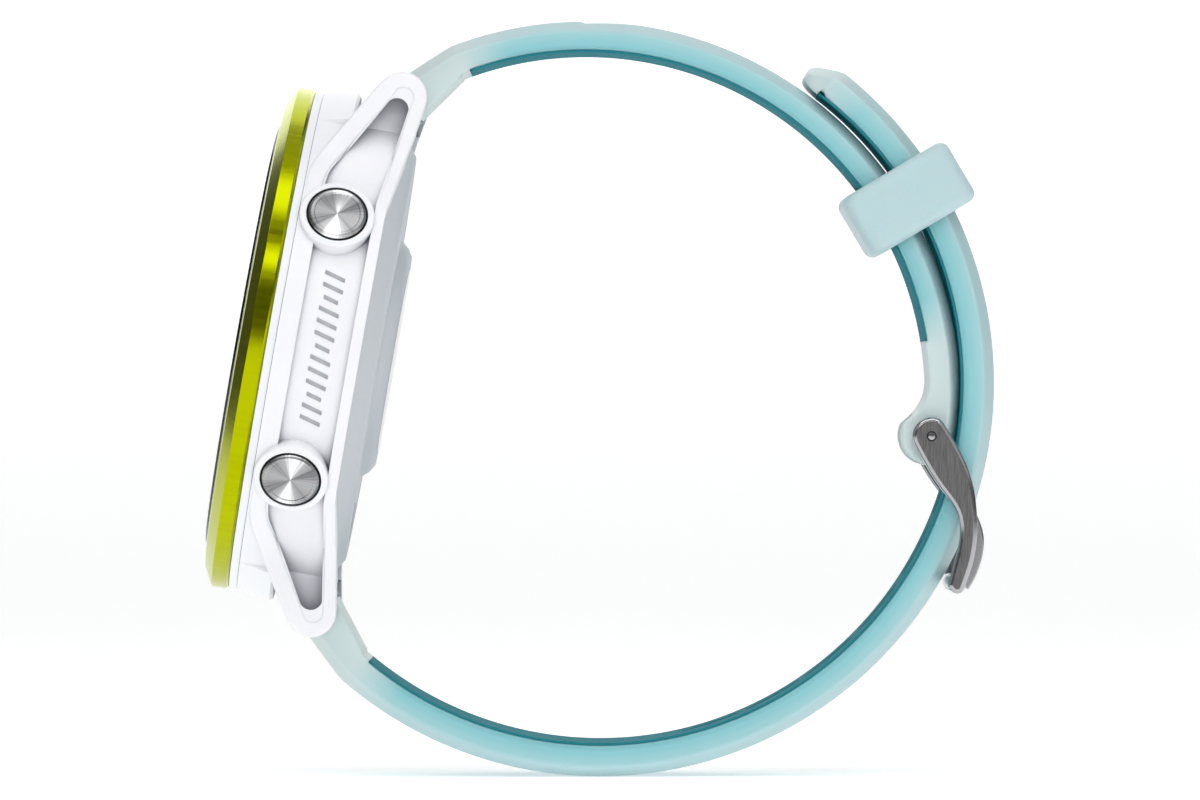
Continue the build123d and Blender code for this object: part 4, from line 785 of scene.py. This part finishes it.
tail = cut(tail_band(), windows(TAIL_R[0], TAIL_R[1] - TAIL_R[0]))
place(keep_flats_flat(tail), "watch", tail_silicone, "strap_clear", "tail_strap")
tail_inside = cut(lining("tail_lining", (0, 0), TAIL_R, LINED["tail"]), windows(TAIL_R[0], LINING))
place(keep_flats_flat(tail_inside), "watch", lining_teal, "strap_turquoise", "tail_strap_lining")
buckle_half = cut(buckle_band(), tang_gap())
place(keep_flats_flat(buckle_half), "watch", buckle_silicone, "strap_clear", "buckle_strap")
buckle_inside = lining("buckle_lining", BUCKLE_CENTRE, BUCKLE_R, LINED["buckle"])
place(keep_flats_flat(buckle_inside), "watch", lining_teal, "strap_turquoise", "buckle_strap_lining")

# ------------------------------------------------------------------ keeper and buckle
place(skin("keeper", "keeper_loop", edge=0.25), "keeper", keeper_silicone, "strap_clear", "keeper")
ARM_INSIDE, ARM_THICK = 10.35, 1.6
ARM_EYE = 1.75
# the arm's outline, from the pin: its outer side down to the foot, round the foot, and back up its inner side
ARM_OUTER = [(0.9, 1.5), (3.72, -4.08), (4.14, -6.6), (3.84, -11.47), (3.05, -13.9)]
ARM_FOOT = [(3.05, -13.9), (2.82, -14.33), (2.35, -14.5), (1.86, -14.3), (1.5, -13.8)]
ARM_INNER = [(1.5, -13.8), (2.2, -11.2), (2.6, -9.0), (2.3, -7.0), (0.9, -4.9), (-1.5, -0.9)]
ARM_SECTION = np.array([(0.2, 0), (0.06, 0.05), (0, 0.2), (0, 1.2), (0.05, 1.36), (0.17, 1.5), (0.34, 1.58),
                        (0.4, ARM_THICK)])  # inset, depth
END_BAR, END_BAR_R, END_BAR_SUNK = np.array([2.25, -13.55]), 0.75, 0.4
PIN_AT = np.array([LOOP[0] + PIN[0], 0, LOOP[2] + PIN[2]])
PIN_GAP = np.array([(0, 0.0), (0.47, 0.0), (0.47, 0.02), (0, 0.02)])
PIN_END = rounded([(0, 0, 0), (0.33, 0, 0), (0.33, 0.05, 0.03), (0, 0.05, 0)], 3, closed=False)
ACROSS, ALONG_X = np.array([0, 1.0, 0]), np.array([1.0, 0, 0])


def smooth_line(points, steps):
    """A natural cubic curve through points, spaced by the chords between them.

    Second slopes m solve h0*m0 + 2*(h0+h1)*m1 + h1*m2 = 6*(rise1/h1 - rise0/h0), with none at the two ends.
    """
    points = np.asarray(points, float)
    h = np.hypot(*np.diff(points, axis=0).T)
    at = np.concatenate([[0], np.cumsum(h)])
    count = len(points)
    grid = np.eye(count)
    inner = np.arange(1, count - 1)
    grid[inner, inner - 1], grid[inner, inner], grid[inner, inner + 1] = h[:-1], 2 * (h[:-1] + h[1:]), h[1:]
    rise = np.diff(points, axis=0) / h[:, None]
    wanted = np.zeros_like(points)
    wanted[1:-1] = 6 * np.diff(rise, axis=0)
    bend = np.linalg.solve(grid, wanted)
    where = np.linspace(0, at[-1], steps)
    k = np.clip(np.searchsorted(at, where, side="right") - 1, 0, count - 2)
    a, b, step = (at[k + 1] - where)[:, None], (where - at[k])[:, None], h[k][:, None]
    return ((bend[k] * a ** 3 + bend[k + 1] * b ** 3) / (6 * step)
            + (points[k] / step - bend[k] * step / 6) * a
            + (points[k + 1] / step - bend[k + 1] * step / 6) * b)


def buckle_arm(name, side):
    """One arm of the buckle: a hooked plate with a polished bevel all round its outer face.

    The outline is carried along the rows of ARM_SECTION. Depth is counted from the plate's inner face.
    """
    eye = np.radians(np.linspace(205, 64, 30))
    outline = np.vstack([ARM_EYE * np.stack([np.cos(eye), np.sin(eye)], axis=1),
                         smooth_line(ARM_OUTER, 60)[1:],
                         smooth_line(ARM_FOOT, 14)[1:],
                         smooth_line(ARM_INNER, 60)[1:-1]])
    way = np.roll(outline, -1, axis=0) - np.roll(outline, 1, axis=0)
    inwards = np.stack([way[:, 1], -way[:, 0]], axis=1) / np.hypot(*way.T)[:, None]
    rows, columns = len(ARM_SECTION), len(outline)
    flat = outline[None] + inwards[None] * ARM_SECTION[:, 0, None, None]
    across = side * (ARM_INSIDE + ARM_SECTION[:, 1, None]) * np.ones(columns)[None]
    points = np.stack([PIN[0] + LOOP[0] + flat[..., 0], across, PIN[2] + LOOP[2] + flat[..., 1]], axis=-1)
    faces = grid_faces(rows, columns, wrap_columns=True) + end_faces(rows, columns)
    arm = face_outwards(build(name, points.reshape(-1, 3), faces))
    finish = np.ones(len(arm.data.polygons), np.int32)
    finish[-2:] = 0  # the two flats are brushed, and the edges between them polished
    return arm, finish


def crossbar(name, centre, radius, half):
    """A round bar across the strap with softened ends."""
    edge = 0.25
    corners = [(0, -half, 0), (radius, -half, edge), (radius, half, edge), (0, half, 0)]
    corners = rounded(corners, 3, closed=False)
    middle = np.array([LOOP[0] + PIN[0] + centre[0], 0, LOOP[2] + PIN[2] + centre[1]])
    return revolved(name, corners, middle, ACROSS, ALONG_X, 64)


for arm_name, side in (("near", -1), ("far", 1)):
    arm, finish = buckle_arm(f"buckle_arm_{arm_name}", side)
    place(keep_flats_flat(arm), "buckle_frame", side_steel, "buckle_steel")
    arm.data.materials.append(edge_steel)
    arm.data.polygons.foreach_set("material_index", finish)
    eye = PIN_AT + side * (ARM_INSIDE + ARM_THICK) * ACROSS
    # painted shade: a dark ring round the pin end stands in for the shade of its hole
    gap = revolved(f"pin_gap_{arm_name}", PIN_GAP, eye, side * ACROSS, ALONG_X, 48)
    place(gap, "buckle_frame", gap_shade_finish, "seal_rubber")
    pin_end = revolved(f"pin_end_{arm_name}", PIN_END, eye, side * ACROSS, ALONG_X, 48)
    place(pin_end, "buckle_frame", edge_steel, "buckle_steel")
bar = crossbar("buckle_end_bar", END_BAR, END_BAR_R, ARM_INSIDE + END_BAR_SUNK)
bar = cut(bar, skin("buckle_tang", "tang_room"))
place(keep_flats_flat(bar), "buckle_frame", edge_steel, "buckle_steel", "buckle_frame")
tang = skin("buckle_tang", "buckle_tang_skin", edge=0.15)
place(tang, "buckle_tang", edge_steel, "buckle_steel", "buckle_tang")

# ------------------------------------------------------------------ floor, lights, camera
CAMERA_AWAY = 1.350
CAMERA_HEIGHT = 0.03475
FIELD = 0.11142  # seen across at the loop's middle
FLOOR_GLOW, BACKDROP_GLOW, GLOW_HEIGHT = 0.37, 1.12, 0.25  # the glow grows up to this height
SWEEP_START, SWEEP_R, SWEEP_TOP = 0.9, 0.9, 3.5
LIGHT_AIM = Vector((0, 0, 0.036))
WORLD_COLOUR, WORLD_GLOW = (0.92, 0.95, 1.0, 1), 0.10
# name: low and high edge in degrees, width, glow, turn to the left in degrees, distance
LIGHTS = {
    "front_strip": (32, 41, 1.5, 2.6, 0, 1.0),
    "high_front_box": (58, 79, 1.5, 2.0, 0, 1.0),
    "overhead": (83, 119, 1.2, 0.45, 0, 1.0),
    "front_fill": (5, 50, 1.7, 1.05, 0, 1.7),
    "left_wall": (20, 60, 0.8, 0.35, 65, 1.0),
    "right_wall": (5, 60, 0.7, 0.5, -70, 1.0),
}


def studio_floor():
    """A pale sweep: flat under the watch, then curving up behind it."""
    across = np.linspace(-1, 1, 9)
    turn = np.linspace(0, pi / 2, 24)
    back = np.concatenate([[-3.0, 0.0, 0.6], SWEEP_START + SWEEP_R * np.sin(turn), [SWEEP_START + SWEEP_R]])
    rise = np.concatenate([[0.0, 0.0, 0.0], SWEEP_R - SWEEP_R * np.cos(turn), [SWEEP_TOP]])
    points = np.stack(np.broadcast_arrays(across[None, :], back[:, None], rise[:, None]), axis=-1)
    floor = build("studio_floor", points.reshape(-1, 3) / MM, grid_faces(len(back), len(across)))
    made, tree, shader = material("floor_paper", (0.9, 0.9, 0.9), 0.9, **{"Emission Color": (1, 1, 1, 1)})
    place_on = add_node(tree, "ShaderNodeTexCoord").outputs["Object"]
    height = add_node(tree, "ShaderNodeSeparateXYZ", {0: place_on}).outputs[2]
    glow = add_node(tree, "ShaderNodeMapRange",
                    {0: height, 1: 0.0, 2: GLOW_HEIGHT, 3: FLOOR_GLOW, 4: BACKDROP_GLOW})
    tree.links.new(glow.outputs[0], shader.inputs["Emission Strength"])
    grain(tree, shader, 40.0, 0.01, (0.95, 0.95, 0.95), 0.004)
    dress(floor, made)


def softbox(name, low, high, width, glow, turn, away):
    """A rectangular light facing the watch.

    Its middle is halfway between two heights, in degrees up from the camera's direction and on over the top,
    and one side is as long as the way between them. A turned light stands on end, its width upwards.
    """
    light = bpy.data.lights.new(name, "AREA")
    light.shape, light.size, light.size_y = "RECTANGLE", width, 2 * away * np.tan(radians(high - low) / 2)
    light.energy = glow * pi * light.size * light.size_y
    rise, swing = radians((low + high) / 2), radians(turn)
    lamp = bpy.data.objects.new(name, light)
    facing = Vector((-cos(rise) * sin(swing), -cos(rise) * cos(swing), sin(rise)))
    lamp.location = LIGHT_AIM + away * facing
    lamp.rotation_euler = facing.to_track_quat("Z", "X").to_euler() if turn else (pi / 2 - rise, 0, 0)
    bpy.context.scene.collection.objects.link(lamp)
    return lamp


studio_floor()
for name, values in LIGHTS.items():
    lamp = softbox(name, *values)
    lamp.visible_glossy = name != "front_fill"  # the fill lights the matt faces only

world = bpy.data.worlds.new("studio")
world.use_nodes = True
world.node_tree.nodes["Background"].inputs[0].default_value = WORLD_COLOUR
world.node_tree.nodes["Background"].inputs[1].default_value = WORLD_GLOW
bpy.context.scene.world = world
bpy.context.scene.view_settings.view_transform = "Standard"

lens = bpy.data.cameras.new("camera")
lens.sensor_width = 36.0
lens.lens = lens.sensor_width * CAMERA_AWAY / FIELD
lens.clip_start, lens.clip_end = 0.05, 20
camera = bpy.data.objects.new("camera", lens)
camera.location = (LOOP[0] * MM, -CAMERA_AWAY, CAMERA_HEIGHT)
camera.rotation_euler = (pi / 2, 0, 0)
bpy.context.scene.collection.objects.link(camera)
bpy.context.scene.camera = camera
